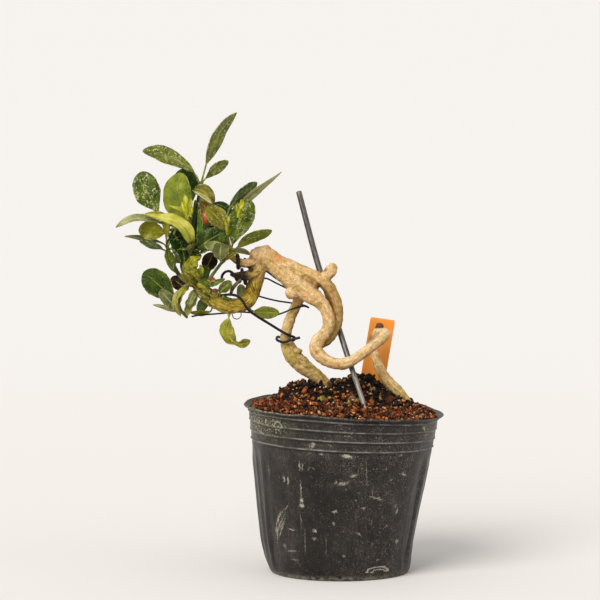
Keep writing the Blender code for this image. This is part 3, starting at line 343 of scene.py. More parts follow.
# ---------------------------------------------------------------- finishes: bark
def bark_look():
    """Tan, lightly corky bark.  The point vectors are grown = (mm along, mm around, 0) and
    tint = (moss, green twig, brown streaks)."""
    look = Look("bark", 0.8, 0.25)
    place = look.mm()
    grown = look.attribute("grown")
    moss, green, brown = look.split(look.attribute("tint"))
    # cover is (painted shade, green skin, dark purple); mark is (rusty patches, painted highlight with a pale spot,
    # golden streaks)
    shade, skin, purple = look.split(look.attribute("cover"))
    warm, pale_spot_and_painted_highlight, gold = look.split(look.attribute("mark"))
    broad = look.noise(place, 0.16, 3, 0.55)
    fine = look.noise(place, 0.62, 4, 0.62)
    grain = look.noise(look.vec("MULTIPLY", grown, (0.45, 1.7, 1.0)), 1.0, 4, 0.6, 0.4)
    fibre = look.noise(look.vec("MULTIPLY", grown, (0.20, 0.95, 1.0)), 1.0, 4, 0.62, 0.7)
    tan = look.ramp(broad, [(0.30, (0.46, 0.275, 0.065)), (0.42, (0.56, 0.355, 0.105)),
                            (0.50, (0.65, 0.425, 0.165)), (0.58, (0.69, 0.415, 0.190)),
                            (0.72, (0.69, 0.385, 0.130))])
    smudge = look.noise(place, 0.31, 3, 0.6)
    colour = look.mix(look.step(smudge, 0.52, 0.66, 0.0, 0.55), tan, (0.80, 0.58, 0.30))
    colour = look.mix(look.step(smudge, 0.46, 0.34, 0.0, 0.50), colour, (0.47, 0.290, 0.065))
    speck = look.noise(place, 1.7, 3, 0.7)
    colour = look.mix(look.step(fine, 0.52, 0.68, 0.0, 0.42), colour, (0.86, 0.67, 0.38))
    colour = look.mix(look.step(fine, 0.46, 0.32, 0.0, 0.42), colour, (0.38, 0.200, 0.050))
    colour = look.mix(look.step(fibre, 0.53, 0.64, 0.0, 0.62), colour, (0.88, 0.70, 0.42))
    colour = look.mix(look.step(fibre, 0.47, 0.36, 0.0, 0.52), colour, (0.36, 0.200, 0.046))
    colour = look.mix(look.step(grain, 0.52, 0.64, 0.0, 0.40), colour, (0.43, 0.250, 0.064))
    cracks = look.cells(look.vec("MULTIPLY", look.vec("ADD", grown, look.vec("SCALE", look.noise(
        place, 0.6, 3, 0.6, out="Color"), (0, 0, 0))), (0.42, 1.05, 1.0)), 1.0, "DISTANCE_TO_EDGE")
    crack = look.math("MULTIPLY", look.step(cracks, 0.070, 0.010),
                      look.step(look.noise(place, 0.42, 2), 0.46, 0.60))
    colour = look.mix(look.math("MULTIPLY", crack, 0.42), colour, (0.27, 0.135, 0.030))
    colour = look.mix(look.step(speck, 0.58, 0.68, 0.0, 0.45), colour, (0.92, 0.78, 0.52))
    colour = look.mix(look.step(speck, 0.42, 0.33, 0.0, 0.40), colour, (0.30, 0.150, 0.036))
    # painted highlight on faces turned towards the key light, a pale spot on the hook's top, and rusty patches
    colour = look.mix(look.math("MULTIPLY", pale_spot_and_painted_highlight, look.step(fine, 0.36, 0.62, 0.35, 0.95)), colour, (0.88, 0.72, 0.47))
    colour = look.mix(look.math("MULTIPLY", warm, look.step(smudge, 0.38, 0.58, 0.45, 1.0)), colour, (0.80, 0.300, 0.085))
    # corky pores: small dark dots with pale rims
    dots = look.cells(look.vec("MULTIPLY", grown, (0.8, 1.25, 1.0)), 0.75)
    pore = look.step(dots, 0.20, 0.10)
    rim = look.math("MULTIPLY", look.step(dots, 0.38, 0.26), look.step(dots, 0.17, 0.24))
    few = look.step(look.noise(place, 0.32, 1), 0.50, 0.58)
    pore = look.math("MULTIPLY", pore, few)
    colour = look.mix(look.math("MULTIPLY", look.math("MULTIPLY", rim, few), 0.5), colour, (0.88, 0.70, 0.44))
    colour = look.mix(look.math("MULTIPLY", pore, 0.85), colour, (0.13, 0.055, 0.018))
    # brown and yellow lengthwise streaks of the low branch
    lines = look.noise(look.vec("MULTIPLY", grown, (0.13, 1.05, 1.0)), 1.0, 5, 0.64, 0.9)
    streaked = look.ramp(look.math("ADD", look.math("MULTIPLY", lines, 0.80), look.math("MULTIPLY", fine, 0.20)),
                         [(0.36, (0.090, 0.048, 0.004)), (0.45, (0.215, 0.125, 0.009)),
                          (0.53, (0.385, 0.245, 0.018)), (0.64, (0.64, 0.48, 0.070))])
    colour = look.mix(brown, colour, streaked)
    golden = look.math("MULTIPLY", gold, look.step(lines, 0.38, 0.56))
    colour = look.mix(look.math("MULTIPLY", golden, 0.9), colour, (0.68, 0.49, 0.072))
    # green skin on the low branch's far end
    algae = look.math("MULTIPLY", look.step(look.noise(place, 0.38, 4, 0.62), 0.40, 0.58), skin)
    colour = look.mix(look.math("MULTIPLY", algae, 0.85), colour, (0.115, 0.125, 0.008))
    # greenish film on the old legs
    film = look.math("MULTIPLY", moss, look.step(look.noise(place, 0.5, 4, 0.6), 0.36, 0.60))
    colour = look.mix(look.math("MULTIPLY", film, 0.85), colour, (0.345, 0.275, 0.036))
    # green twigs
    twig = look.ramp(look.noise(look.vec("MULTIPLY", grown, (0.35, 1.6, 1.0)), 1.0, 3),
                     [(0.35, (0.035, 0.055, 0.010)), (0.52, (0.085, 0.12, 0.018)),
                      (0.68, (0.19, 0.20, 0.040))])
    colour = look.mix(green, colour, twig)
    # dark purple-brown of the wired stub and the old cuts, also used as painted shade under the stubs' joint
    purple_bark_and_painted_shade = look.ramp(fine, [(0.36, (0.016, 0.010, 0.006)), (0.52, (0.060, 0.037, 0.019)),
                              (0.68, (0.18, 0.128, 0.056))])
    colour = look.mix(purple, colour, purple_bark_and_painted_shade)
    shaded = look.mix(1.0, colour, (0.40, 0.27, 0.15), "MULTIPLY")
    colour = look.mix(shade, colour, shaded)
    height = look.math("ADD", look.math("MULTIPLY", fine, 0.6), look.math("MULTIPLY", grain, 0.5))
    height = look.math("ADD", height, look.math("MULTIPLY", fibre, 0.8))
    height = look.math("SUBTRACT", height, look.math("MULTIPLY", crack, 0.22))
    height = look.math("SUBTRACT", height, look.math("MULTIPLY", pore, 0.6))
    height = look.math("ADD", height, look.math("MULTIPLY", lines, brown))
    height = look.math("ADD", height, look.math("MULTIPLY", speck, 0.25))
    rough = look.step(fine, 0.3, 0.7, 0.80, 0.55)
    return look.finish(colour, rough, height, 0.42, 1.0)


def cut_look():
    """An old cut's end: dark, with faint rings."""
    look = Look("old_cut", 0.85, 0.2)
    place = look.mm()
    n = look.noise(place, 0.9, 3)
    colour = look.ramp(n, [(0.3, (0.055, 0.02, 0.018)), (0.7, (0.19, 0.075, 0.045))])
    return look.finish(colour, None, n, 0.2)


# ---------------------------------------------------------------- finishes: leaves
LEAF_TONES = {
    # shade, body and light tones of a leaf's upper face
    "dark": ((0.016, 0.036, 0.002), (0.056, 0.090, 0.004), (0.135, 0.170, 0.012)),
    "deep": ((0.006, 0.022, 0.003), (0.018, 0.055, 0.005), (0.060, 0.110, 0.012)),
    "mid": ((0.055, 0.075, 0.003), (0.125, 0.150, 0.010), (0.250, 0.250, 0.030)),
    "light": ((0.095, 0.130, 0.010), (0.205, 0.245, 0.022), (0.330, 0.350, 0.060)),
    "grey": ((0.075, 0.085, 0.025), (0.165, 0.180, 0.060), (0.330, 0.335, 0.150)),
    "olive": ((0.070, 0.055, 0.003), (0.165, 0.145, 0.009), (0.300, 0.265, 0.022)),
    "young": ((0.205, 0.215, 0.004), (0.370, 0.370, 0.008), (0.560, 0.520, 0.040)),
    "arch": ((0.240, 0.240, 0.012), (0.430, 0.420, 0.045), (0.600, 0.540, 0.130)),
    "curl": ((0.110, 0.110, 0.004), (0.250, 0.240, 0.012), (0.430, 0.390, 0.050)),
    "purple": ((0.010, 0.003, 0.003), (0.034, 0.014, 0.009), (0.105, 0.060, 0.020)),
    "silver": ((0.150, 0.160, 0.045), (0.285, 0.295, 0.110), (0.470, 0.460, 0.230)),
    "forest": ((0.010, 0.028, 0.003), (0.034, 0.068, 0.005), (0.098, 0.132, 0.012)),
    "vivid": ((0.012, 0.050, 0.003), (0.036, 0.115, 0.006), (0.090, 0.200, 0.016)),
    "lime": ((0.110, 0.105, 0.003), (0.235, 0.220, 0.006), (0.410, 0.375, 0.026)),
    "fresh": ((0.085, 0.105, 0.006), (0.205, 0.230, 0.020), (0.380, 0.370, 0.070)),
    "dull": ((0.080, 0.070, 0.008), (0.185, 0.170, 0.026), (0.340, 0.310, 0.075)),
    "sage": ((0.070, 0.082, 0.018), (0.155, 0.168, 0.048), (0.300, 0.300, 0.125)),
    "crisp": ((0.150, 0.148, 0.004), (0.300, 0.285, 0.008), (0.480, 0.440, 0.036)),
    "straw": ((0.150, 0.125, 0.036), (0.310, 0.270, 0.090), (0.480, 0.430, 0.190)),
    "rust": ((0.150, 0.055, 0.006), (0.330, 0.150, 0.018), (0.480, 0.330, 0.070)),
}


def leaf_look(name, tones, specks, gloss, under=False):
    """The point vector blade is (mm across, mm along, a number of the leaf's own) and place
    is (-1..1 across, 0..1 along, width in mm)."""
    look = Look(name, gloss, 0.15)
    mm = look.attribute("blade")
    across, along, wide = look.split(look.attribute("place"))
    side = look.math("ABSOLUTE", across)
    own = look.math("FRACT", look.math("MULTIPLY", look.split(mm)[2], 0.137))
    soft = look.noise(mm, 0.16, 3, 0.55)
    fine = look.noise(mm, 0.9, 3, 0.6)
    value = look.math("ADD", look.math("MULTIPLY", soft, 0.75), look.math("MULTIPLY", fine, 0.25))
    value = look.math("ADD", value, look.math("MULTIPLY", look.math("SUBTRACT", own, 0.5), 0.24))
    colour = look.ramp(value, [(0.34, tones[0]), (0.50, tones[1]), (0.66, tones[2])])
    # side veins run out and forward from the midrib
    run = look.math("SUBTRACT", look.math("MULTIPLY", along, 13.0), look.math("MULTIPLY", side, 2.3))
    comb = look.math("ABSOLUTE", look.math("SUBTRACT", look.math("FRACT", run), 0.5))
    vein = look.math("MULTIPLY", look.step(comb, 0.10, 0.02), look.step(side, 0.98, 0.6))
    colour = look.mix(look.math("MULTIPLY", vein, 0.30), colour, tones[2])
    reach = look.math("DIVIDE", 0.36 if not under else 0.5, wide)
    rib = look.step(look.math("DIVIDE", side, reach), 1.5, 0.7)
    rib = look.math("MULTIPLY", rib, look.step(along, 1.0, 0.7))
    pale = tuple(min(1.0, 1.35 * c + 0.02) for c in tones[2])
    colour = look.mix(look.math("MULTIPLY", rib, 0.46), colour, pale)
    # a blush of yellow towards the foot and one side, and a darker rim with pale nicks
    blush = look.math("MULTIPLY", look.step(along, 0.45, 0.0), look.step(own, 0.2, 0.8, 0.15, 0.75))
    colour = look.mix(look.math("MULTIPLY", blush, 0.5), colour, tones[2])
    edge = look.math("MULTIPLY", look.math("SUBTRACT", 1.0, side), wide)
    colour = look.mix(look.step(edge, 0.55, 0.10, 0.0, 0.60), colour, tones[0])
    nick = look.math("MULTIPLY", look.step(edge, 0.75, 0.25), look.step(look.noise(mm, 0.35, 2), 0.50, 0.58))
    colour = look.mix(look.math("MULTIPLY", nick, 0.55), colour, (0.50, 0.46, 0.16))
    height = look.math("ADD", look.math("MULTIPLY", vein, -0.5), look.math("MULTIPLY", fine, 0.4))
    rough = look.step(fine, 0.3, 0.7, gloss - 0.06, gloss + 0.10)
    if specks:
        # dried water marks: dots, broken rings and runs
        patch = look.step(look.noise(mm, 0.13, 2), 0.38, 0.56)
        dots = look.step(look.noise(look.vec("MULTIPLY", mm, (1, 1, 3.0)), 0.95, 2, 0.6), 0.645, 0.70)
        level = look.noise(look.vec("MULTIPLY", mm, (1.0, 0.8, 1.0)), 0.24, 3, 0.62, 0.8)
        off = look.math("ABSOLUTE", look.math("SUBTRACT", level, 0.52))
        rings = look.math("MULTIPLY", look.step(off, 0.026, 0.008),
                          look.step(look.noise(mm, 0.60, 2, 0.6), 0.44, 0.54))
        chips = look.step(look.cells(look.vec("MULTIPLY", mm, (1.0, 0.75, 1.0)), 0.60), 0.24, 0.12)
        chips = look.math("MULTIPLY", chips, look.step(look.noise(mm, 0.22, 1), 0.50, 0.58))
        mark = look.math("MAXIMUM", look.math("MULTIPLY", dots, 0.8), look.math("MULTIPLY", rings, patch))
        mark = look.math("MAXIMUM", mark, look.math("MULTIPLY", chips, 0.9))
        mark = look.math("MULTIPLY", mark, specks, clamp=True)
        colour = look.mix(look.math("MULTIPLY", mark, 0.92), colour, (0.64, 0.64, 0.38))
        rough = look.math("ADD", rough, look.math("MULTIPLY", mark, 0.3))
        height = look.math("ADD", height, look.math("MULTIPLY", mark, 0.5))
    return look.finish(colour, rough, height, 0.10, 0.7)


def stalk_look():
    look = Look("leaf_stalk", 0.5, 0.4)
    place = look.mm()
    n = look.noise(place, 0.5, 3)
    colour = look.ramp(n, [(0.34, (0.10, 0.125, 0.014)), (0.5, (0.21, 0.235, 0.028)),
                           (0.66, (0.36, 0.36, 0.06))])
    return look.finish(colour, None, n, 0.05)


# ---------------------------------------------------------------- finishes: pot
def pot_look():
    """Thin charcoal plastic, dusty and scuffed.  The point vector wall is (mm right of the
    front line round the wall, mm up, worn), worn marking the lip's edge and the foot, and
    bead is (lit edge, shaded edge) of the raised rings."""
    look = Look("pot_plastic", 0.36, 0.27)
    wall = look.attribute("wall")
    across, up, worn = look.split(wall)
    flat = look.join(across, up)
    lime = look.attribute("lime", "Fac")
    lit, dim, _ = look.split(look.attribute("bead"))
    solid = look.mm()
    body = look.noise(solid, 0.055, 4, 0.6)
    film = look.noise(solid, 0.42, 5, 0.72)
    drag = look.noise(look.mm((0.9, 0.9, 0.07)), 1.0, 4, 0.62, 0.3)
    value = look.math("ADD", look.math("MULTIPLY", body, 0.45), look.math("MULTIPLY", drag, 0.25))
    value = look.math("ADD", value, look.math("MULTIPLY", film, 0.30))
    colour = look.ramp(value, [(0.40, (0.0034, 0.0025, 0.0019)), (0.48, (0.0095, 0.0074, 0.0058)),
                               (0.55, (0.0195, 0.0160, 0.0132)), (0.66, (0.052, 0.043, 0.036))])
    # fine dust: dense towards the right and the top
    turned = look.math("MULTIPLY", look.step(across, -30, 38, 0.0, 0.055), look.step(across, 128, 70))
    dust_field = look.math("ADD", turned, look.step(up, 25, 78, 0.0, 0.030))
    grit = look.noise(solid, 1.0, 4, 0.75)
    fine = look.noise(solid, 2.0, 3, 0.72)
    clumps = look.step(look.noise(solid, 0.17, 3, 0.6), 0.40, 0.62, 0.25, 1.0)
    dust = look.step(look.math("ADD", grit, dust_field), 0.600, 0.715)
    dust = look.math("ADD", look.math("MULTIPLY", dust, 0.75),
                     look.math("MULTIPLY", look.step(look.math("ADD", fine, dust_field), 0.60, 0.72), 0.55))
    dust = look.math("MULTIPLY", dust, clumps)
    # vertical rubs
    rubs = look.noise(look.mm((1.6, 1.6, 0.13)), 1.0, 3, 0.7)
    rub = look.math("MULTIPLY", look.step(rubs, 0.60, 0.72),
                    look.step(look.noise(solid, 0.10, 2), 0.48, 0.62))
    # short pale scuffs, mostly upright
    scuffs = look.noise(look.mm((1.9, 1.9, 0.42)), 1.0, 3, 0.7, 0.5)
    scuff = look.math("MULTIPLY", look.step(look.math("ADD", scuffs, look.math("MULTIPLY", dust_field, 0.5)), 0.655, 0.735),
                      look.step(look.noise(solid, 0.075, 3, 0.6), 0.44, 0.58))
    dirt = look.math("ADD", dust, look.math("MULTIPLY", rub, 0.45), clamp=True)
    dirt = look.math("ADD", dirt, look.math("MULTIPLY", scuff, 0.9), clamp=True)
    colour = look.mix(dirt, colour, (0.180, 0.158, 0.134))
    # separate marks, each an ellipse turned on the wall
    bend = look.noise(flat, 0.55, 2, 0.6, out="Color")
    bx, bz, _ = look.split(bend)
    warp_x = look.math("ADD", across, look.math("MULTIPLY", look.math("SUBTRACT", bx, 0.5), 2.2))
    warp_z = look.math("ADD", up, look.math("MULTIPLY", look.math("SUBTRACT", bz, 0.5), 2.6))
    spot = look.join(warp_x, warp_z, 1.0)
    ragged = look.math("MULTIPLY", look.math("SUBTRACT", look.math(
        "ADD", look.math("MULTIPLY", grit, 0.5), look.math("MULTIPLY", fine, 0.5)), 0.5), 5.0)
    marks = None
    for x, z, a, b, weight, turn in pot_marks():
        c, s = math.cos(turn), math.sin(turn)
        dx = look.vec("DOT_PRODUCT", spot, (c / a, s / a, -(c * x + s * z) / a), 1)
        dz = look.vec("DOT_PRODUCT", spot, (-s / b, c / b, (s * x - c * z) / b), 1)
        far = look.vec("LENGTH", look.join(dx, dz), out=1)
        one = look.math("MULTIPLY", look.step(look.math("ADD", far, ragged), 1.25, 0.45), weight)
        marks = one if marks is None else look.math("MAXIMUM", marks, one)
    for x, z, a, b, thick, weight, half in pot_rings():
        dx = look.vec("DOT_PRODUCT", spot, (1 / a, 0.0, -x / a), 1)
        dz = look.vec("DOT_PRODUCT", spot, (0.0, 1 / b, -z / b), 1)
        far = look.math("ABSOLUTE", look.math("SUBTRACT", look.vec("LENGTH", look.join(dx, dz), out=1), 1.0))
        far = look.math("ADD", look.math("MULTIPLY", far, min(a, b) / thick), look.math("MULTIPLY", ragged, 0.5))
        one = look.math("MULTIPLY", look.step(far, 1.2, 0.4), weight)
        if half:
            one = look.math("MULTIPLY", one, look.step(dz, -0.3, 0.1))
        marks = look.math("MAXIMUM", marks, one)
    marks = look.math("MULTIPLY", marks, look.step(look.noise(flat, 1.6, 2, 0.7), 0.38, 0.54, 0.42, 1.0))
    colour = look.mix(marks, colour, (0.52, 0.485, 0.385))
    # lime and moss near the lip
    mossy = look.noise(solid, 0.75, 4, 0.72)
    crust = look.math("MULTIPLY", lime, look.step(mossy, 0.45, 0.60))
    colour = look.mix(look.math("MULTIPLY", crust, 0.75), colour, (0.150, 0.130, 0.040))
    crumbs = look.math("MULTIPLY", lime, look.step(look.noise(solid, 1.15, 3, 0.6), 0.54, 0.62))
    colour = look.mix(look.math("MULTIPLY", crumbs, 0.95), colour, (0.55, 0.52, 0.33))
    # the rings' shaded and lit edges, the worn lip's edge and the dusty foot
    colour = look.mix(look.math("MULTIPLY", dim, 0.75), colour, (0.0030, 0.0026, 0.0022))
    along = look.noise(look.mm((0.16, 0.16, 0.5)), 1.0, 3, 0.6)
    colour = look.mix(look.math("MULTIPLY", lit, look.step(along, 0.42, 0.60, 0.30, 0.95)), colour, (0.26, 0.240, 0.215))
    chafe = look.math("MULTIPLY", worn, look.step(look.noise(solid, 0.5, 4, 0.7), 0.38, 0.60))
    colour = look.mix(look.math("MULTIPLY", chafe, 0.80), colour, (0.27, 0.235, 0.180))
    pale = look.math("ADD", dirt, look.math("ADD", crust, chafe), clamp=True)
    rough = look.math("ADD", look.step(body, 0.3, 0.7, 0.30, 0.46), look.math("MULTIPLY", pale, 0.4))
    height = look.math("ADD", look.math("MULTIPLY", grit, 0.35), look.math("MULTIPLY", drag, 0.5))
    height = look.math("ADD", height, look.math("MULTIPLY", look.math("MAXIMUM", crust, marks), 0.9))
    return look.finish(colour, rough, height, 0.12, 0.8)


# ---------------------------------------------------------------- finishes: soil
def grain_look(name, stops, rough=0.85, flecks=0.0):
    """The point vector tone is (shade of the grain 0..1, its wetness, 0)."""
    look = Look(name, rough, 0.22)
    place = look.mm()
    tone, wet, _ = look.split(look.attribute("tone"))
    n = look.noise(place, 1.9, 4, 0.70)
    value = look.math("ADD", look.math("MULTIPLY", n, 1.55), look.math("MULTIPLY", tone, 0.66))
    colour = look.ramp(look.math("SUBTRACT", value, 0.585), stops)
    if flecks:
        bits = look.step(look.noise(place, 2.6, 2, 0.5), 0.64, 0.72)
        colour = look.mix(look.math("MULTIPLY", bits, flecks), colour, (0.50, 0.33, 0.20))
    shine = look.step(wet, 0.70, 1.0, rough, 0.34)
    return look.finish(colour, shine, look.noise(place, 2.2, 4, 0.7), 0.28, 0.9)


# ---------------------------------------------------------------- finishes: small things
def wire_look():
    look = Look("wire_coat", 0.38, 0.30)
    n = look.noise(look.mm(), 0.8, 3)
    colour = look.ramp(n, [(0.35, (0.0035, 0.0022, 0.0018)), (0.7, (0.014, 0.009, 0.007))])
    return look.finish(colour, look.step(n, 0.3, 0.7, 0.36, 0.6), n, 0.05)


def stake_look():
    look = Look("stake_steel", 0.38, 0.5, 0.55)
    along, around, end = look.split(look.attribute("grown"))
    n = look.noise(look.join(look.math("MULTIPLY", along, 0.25), look.math("MULTIPLY", around, 1.5)),
                   1.0, 4, 0.6)
    colour = look.ramp(n, [(0.30, (0.050, 0.045, 0.040)), (0.52, (0.115, 0.105, 0.092)),
                           (0.72, (0.22, 0.195, 0.165))])
    # paler and rougher over the rod's lowest part, near the soil
    paler_low_part = look.math("MULTIPLY", end, look.step(n, 0.35, 0.6))
    colour = look.mix(look.math("MULTIPLY", paler_low_part, 0.75), colour, (0.50, 0.46, 0.39))
    rough = look.math("ADD", look.step(n, 0.3, 0.7, 0.30, 0.46), look.math("MULTIPLY", paler_low_part, 0.3))
    return look.finish(colour, rough, n, 0.05)


def label_look():
    look = Look("label_plastic", 0.42, 0.5)
    place = look.mm()
    soft = look.noise(place, 0.09, 2)
    fine = look.noise(look.mm((0.5, 0.5, 2.0)), 1.0, 3)
    colour = look.ramp(soft, [(0.30, (0.90, 0.280, 0.028)), (0.60, (0.93, 0.340, 0.044)),
                              (0.80, (0.93, 0.400, 0.080))])
    foot = look.step(look.split(place)[2], 94.0, 84.0)
    stain = look.math("MULTIPLY", foot, look.step(look.noise(place, 0.4, 3), 0.40, 0.60))
    colour = look.mix(look.math("MULTIPLY", stain, 0.6), colour, (0.28, 0.11, 0.035))
    scuff = look.step(fine, 0.62, 0.75, 0.0, 0.22)
    colour = look.mix(scuff, colour, (1.0, 0.52, 0.20))
    return look.finish(colour, look.step(fine, 0.3, 0.7, 0.36, 0.52), fine, 0.04)


def fruit_look():
    look = Look("fruit_skin", 0.30, 0.5)
    place = look.mm()
    pores = look.cells(place, 2.0)
    tone = look.noise(place, 0.3, 2)
    colour = look.ramp(tone, [(0.32, (0.62, 0.085, 0.012)), (0.55, (0.80, 0.145, 0.025)),
                              (0.75, (0.86, 0.26, 0.05))])
    colour = look.mix(look.step(pores, 0.22, 0.10, 0.0, 0.35), colour, (0.42, 0.05, 0.01))
    return look.finish(colour, None, look.step(pores, 0.1, 0.35), 0.08)


def floor_look():
    look = Look("floor", 0.7, 0.2)
    far = look.split(look.mm())[1]
    return look.finish(look.mix(look.step(far, -60, 1600), FLOOR_A, FLOOR_B))


# blotches on the pot's front in elevation: (u, v, half width, half height, weight, turn)
BLOTCHES = [
    (313.0, 444.2, 2.4, 3.2, 0.55, 0), (347.1, 456.3, 5.0, 1.5, 0.80, -4), (321.7, 454.3, 2.5, 0.8, 0.45, 0),
    (299.6, 466.0, 0.7, 3.2, 0.60, 0), (302.3, 466.6, 0.6, 3.0, 0.50, 0), (288.2, 481.2, 0.9, 3.8, 0.70, 0),
    (284.2, 479.0, 0.7, 3.0, 0.55, 0), (301.0, 491.0, 0.6, 9.5, 0.50, 0), (301.6, 500.6, 1.4, 2.4, 0.70, 0),
    (302.2, 505.4, 2.1, 1.7, 0.85, 0), (353.8, 475.7, 3.0, 1.4, 0.60, 20), (343.1, 483.7, 5.0, 1.5, 0.50, 15),
    (335.8, 482.4, 1.0, 2.0, 0.40, 0), (404.0, 474.6, 2.2, 1.3, 0.65, -30), (376.6, 498.5, 6.0, 0.9, 0.60, -15),
    (371.9, 497.1, 2.6, 0.8, 0.45, 0), (363.9, 508.5, 1.8, 1.0, 0.50, 10), (335.0, 511.9, 2.6, 1.4, 0.60, 0),
    (333.7, 523.3, 1.3, 1.2, 0.40, 0), (397.4, 511.2, 1.0, 2.6, 0.55, 10), (396.0, 506.4, 0.8, 2.0, 0.45, -15),
    (315.0, 530.9, 1.9, 1.8, 0.85, 0), (314.3, 538.7, 2.6, 1.2, 0.45, 0), (291.6, 529.3, 3.2, 0.9, 0.55, -5),
    (292.0, 551.0, 5.0, 0.7, 0.35, 6), (285.0, 546.0, 1.4, 2.4, 0.30, 20), (343.8, 556.0, 1.5, 1.2, 0.50, 0),
    (397.4, 541.3, 1.4, 2.4, 0.65, 30), (359.2, 534.6, 2.6, 0.7, 0.45, -35), (276.8, 530.0, 1.6, 4.0, 0.40, 0),
    (407.4, 425.5, 3.0, 0.9, 0.65, 8), (339.8, 425.0, 1.7, 1.0, 0.55, 0), (352.2, 433.5, 1.1, 1.2, 0.65, 0),
    (430.0, 432.5, 5.0, 0.6, 0.45, 14), (378.0, 560.5, 1.6, 0.8, 0.45, 0), (305.0, 541.0, 0.5, 11.0, 0.22, 0),
    (391.0, 480.0, 1.0, 1.0, 0.45, 0), (401.5, 455.0, 1.4, 1.6, 0.45, 0), (386.0, 469.0, 0.9, 2.0, 0.35, 0),
    (295.0, 560.0, 3.4, 0.6, 0.30, 0), (262.0, 433.0, 3.4, 0.8, 0.45, -20), (269.0, 470.0, 0.5, 5.0, 0.20, 0),
    (356.0, 500.0, 1.0, 1.0, 0.35, 0), (372.0, 523.0, 0.6, 3.0, 0.30, 0), (387.0, 526.0, 1.6, 0.8, 0.40, 25),
]
# scratches in elevation: (u, v, u, v, half thickness, weight)
SCRATCHES = [
    (282.9, 510.5, 276.2, 525.3, 0.55, 0.70), (280.2, 511.2, 275.1, 532.0, 0.50, 0.60),
    (284.9, 514.6, 278.2, 529.3, 0.50, 0.60), (281.5, 518.6, 276.2, 534.6, 0.60, 0.70),
    (286.2, 515.9, 280.2, 532.0, 0.45, 0.50), (278.8, 524.0, 276.8, 541.3, 0.65, 0.65),
    (284.2, 524.0, 278.8, 537.3, 0.50, 0.55), (276.0, 521.0, 281.5, 511.0, 0.45, 0.50),
    (279.0, 531.0, 283.4, 521.0, 0.45, 0.50), (422.8, 424.1, 424.8, 431.5, 0.80, 0.85),
    (422.1, 428.4, 426.8, 425.4, 0.60, 0.75), (366.0, 461.0, 367.0, 486.0, 0.45, 0.28),
    (289.0, 503.0, 284.0, 512.0, 0.40, 0.40), (373.0, 487.0, 372.0, 500.0, 0.40, 0.35),
    (300.6, 512.0, 301.6, 527.0, 0.40, 0.30), (326.0, 535.0, 326.6, 556.0, 0.40, 0.16),
]
# rings in elevation: (u, v, half width, half height, thickness, weight, upper half only)
RINGS = [
    (278.0, 425.6, 3.6, 3.8, 0.9, 0.60, False), (377.9, 571.5, 10.5, 4.6, 0.7, 0.80, True),
    (378.6, 572.0, 7.0, 2.4, 0.6, 0.75, True), (311.0, 470.0, 3.0, 2.2, 0.5, 0.22, True),
]
# marks round the back and the far sides: (mm right of the front line, mm up, half width, half height, weight)
FAR_MARKS = [
    (60.0, 52.0, 1.8, 0.6, 0.5), (74.0, 30.0, 0.5, 5.0, 0.5), (96.0, 44.0, 1.2, 0.9, 0.5),
    (-62.0, 40.0, 0.5, 4.4, 0.5), (-84.0, 24.0, 1.6, 0.6, 0.5), (-104.0, 52.0, 0.9, 1.6, 0.5),
    (124.0, 33.0, 0.5, 3.6, 0.5), (-124.0, 18.0, 1.4, 0.5, 0.5), (110.0, 2.0, 5.0, 0.8, 0.7),
    (-90.0, 1.8, 6.0, 0.7, 0.6), (86.0, 60.0, 2.4, 0.8, 0.6), (-74.0, 62.0, 1.0, 2.2, 0.5),
    (132.0, 56.0, 1.4, 1.2, 0.6), (-132.0, 40.0, 0.6, 5.0, 0.5),
]
FLOOR_A, FLOOR_B = (0.792, 0.770, 0.742), (0.811, 0.799, 0.790)


# ---------------------------------------------------------------- pot
def soften(x, y, z):
    """The thin pot has settled out of true: it leans, its lip is lower on the right and
    higher in front and behind than at its sides."""
    x, y, z = (np.asarray(c, float) for c in (x, y, z))
    h = np.minimum(1.05, np.maximum(z, 0.0) / POT_HEIGHT)
    lean = np.interp(z, (0, 8, 17, 33, 48, 64, 86), (0, -0.8, -1.2, -0.6, 0.3, 1.0, 1.9))
    bow = np.where(y < 0, 1.2, 2.6)
    return x + lean, y, z - 0.055 * x * h + bow * (y / POT_RIM_R) ** 2 * h ** 3


def wall_radius(z):
    return 37.2 + 0.152 * z


def on_wall(u, v):
    """(mm right of the front line round the wall, mm up) where the sight line through (u, v)
    meets the wall's front, and how much wider a mark looks unrolled there."""
    x, y, z = 0.0, -45.0, 40.0
    for _ in range(30):
        p = at(u, v, y) / MM
        h = min(1.05, max(p[2], 0.0) / POT_HEIGHT)
        lean = float(np.interp(p[2], (0, 8, 17, 33, 48, 64, 86), (0, -0.8, -1.2, -0.6, 0.3, 1.0, 1.9)))
        x = p[0] - lean
        z = p[2] + 0.055 * x * h - 1.2 * (y / POT_RIM_R) ** 2 * h ** 3
        r = wall_radius(z)
        x = max(-0.985 * r, min(0.985 * r, x))
        y = 0.5 * y - 0.5 * math.sqrt(r * r - x * x)
    turn = math.asin(x / r)
    return 45.0 * turn, z, 45.0 / r / max(0.3, math.cos(turn))


def pot_marks():
    """(mm across, mm up, half width, half height, weight, turn) of every mark on the wall."""
    out = []
    for u, v, a, b, weight, turn in BLOTCHES:
        x, z, wide = on_wall(u, v)
        out.append((x, z, a * PX * wide, b * PX, weight, math.radians(turn)))
    for u0, v0, u1, v1, thick, weight in SCRATCHES:
        x0, z0, wide = on_wall(u0, v0)
        x1, z1, _ = on_wall(u1, v1)
        length = math.hypot(x1 - x0, z1 - z0) / 2
        out.append(((x0 + x1) / 2, (z0 + z1) / 2, length, thick * PX, weight, math.atan2(z1 - z0, x1 - x0)))
    return out + [(*row, 0.0) for row in FAR_MARKS]


def pot_rings():
    out = []
    for u, v, a, b, thick, weight, half in RINGS:
        x, z, wide = on_wall(u, v)
        out.append((x, z, a * PX * wide, b * PX, thick * PX, weight, half))
    return out


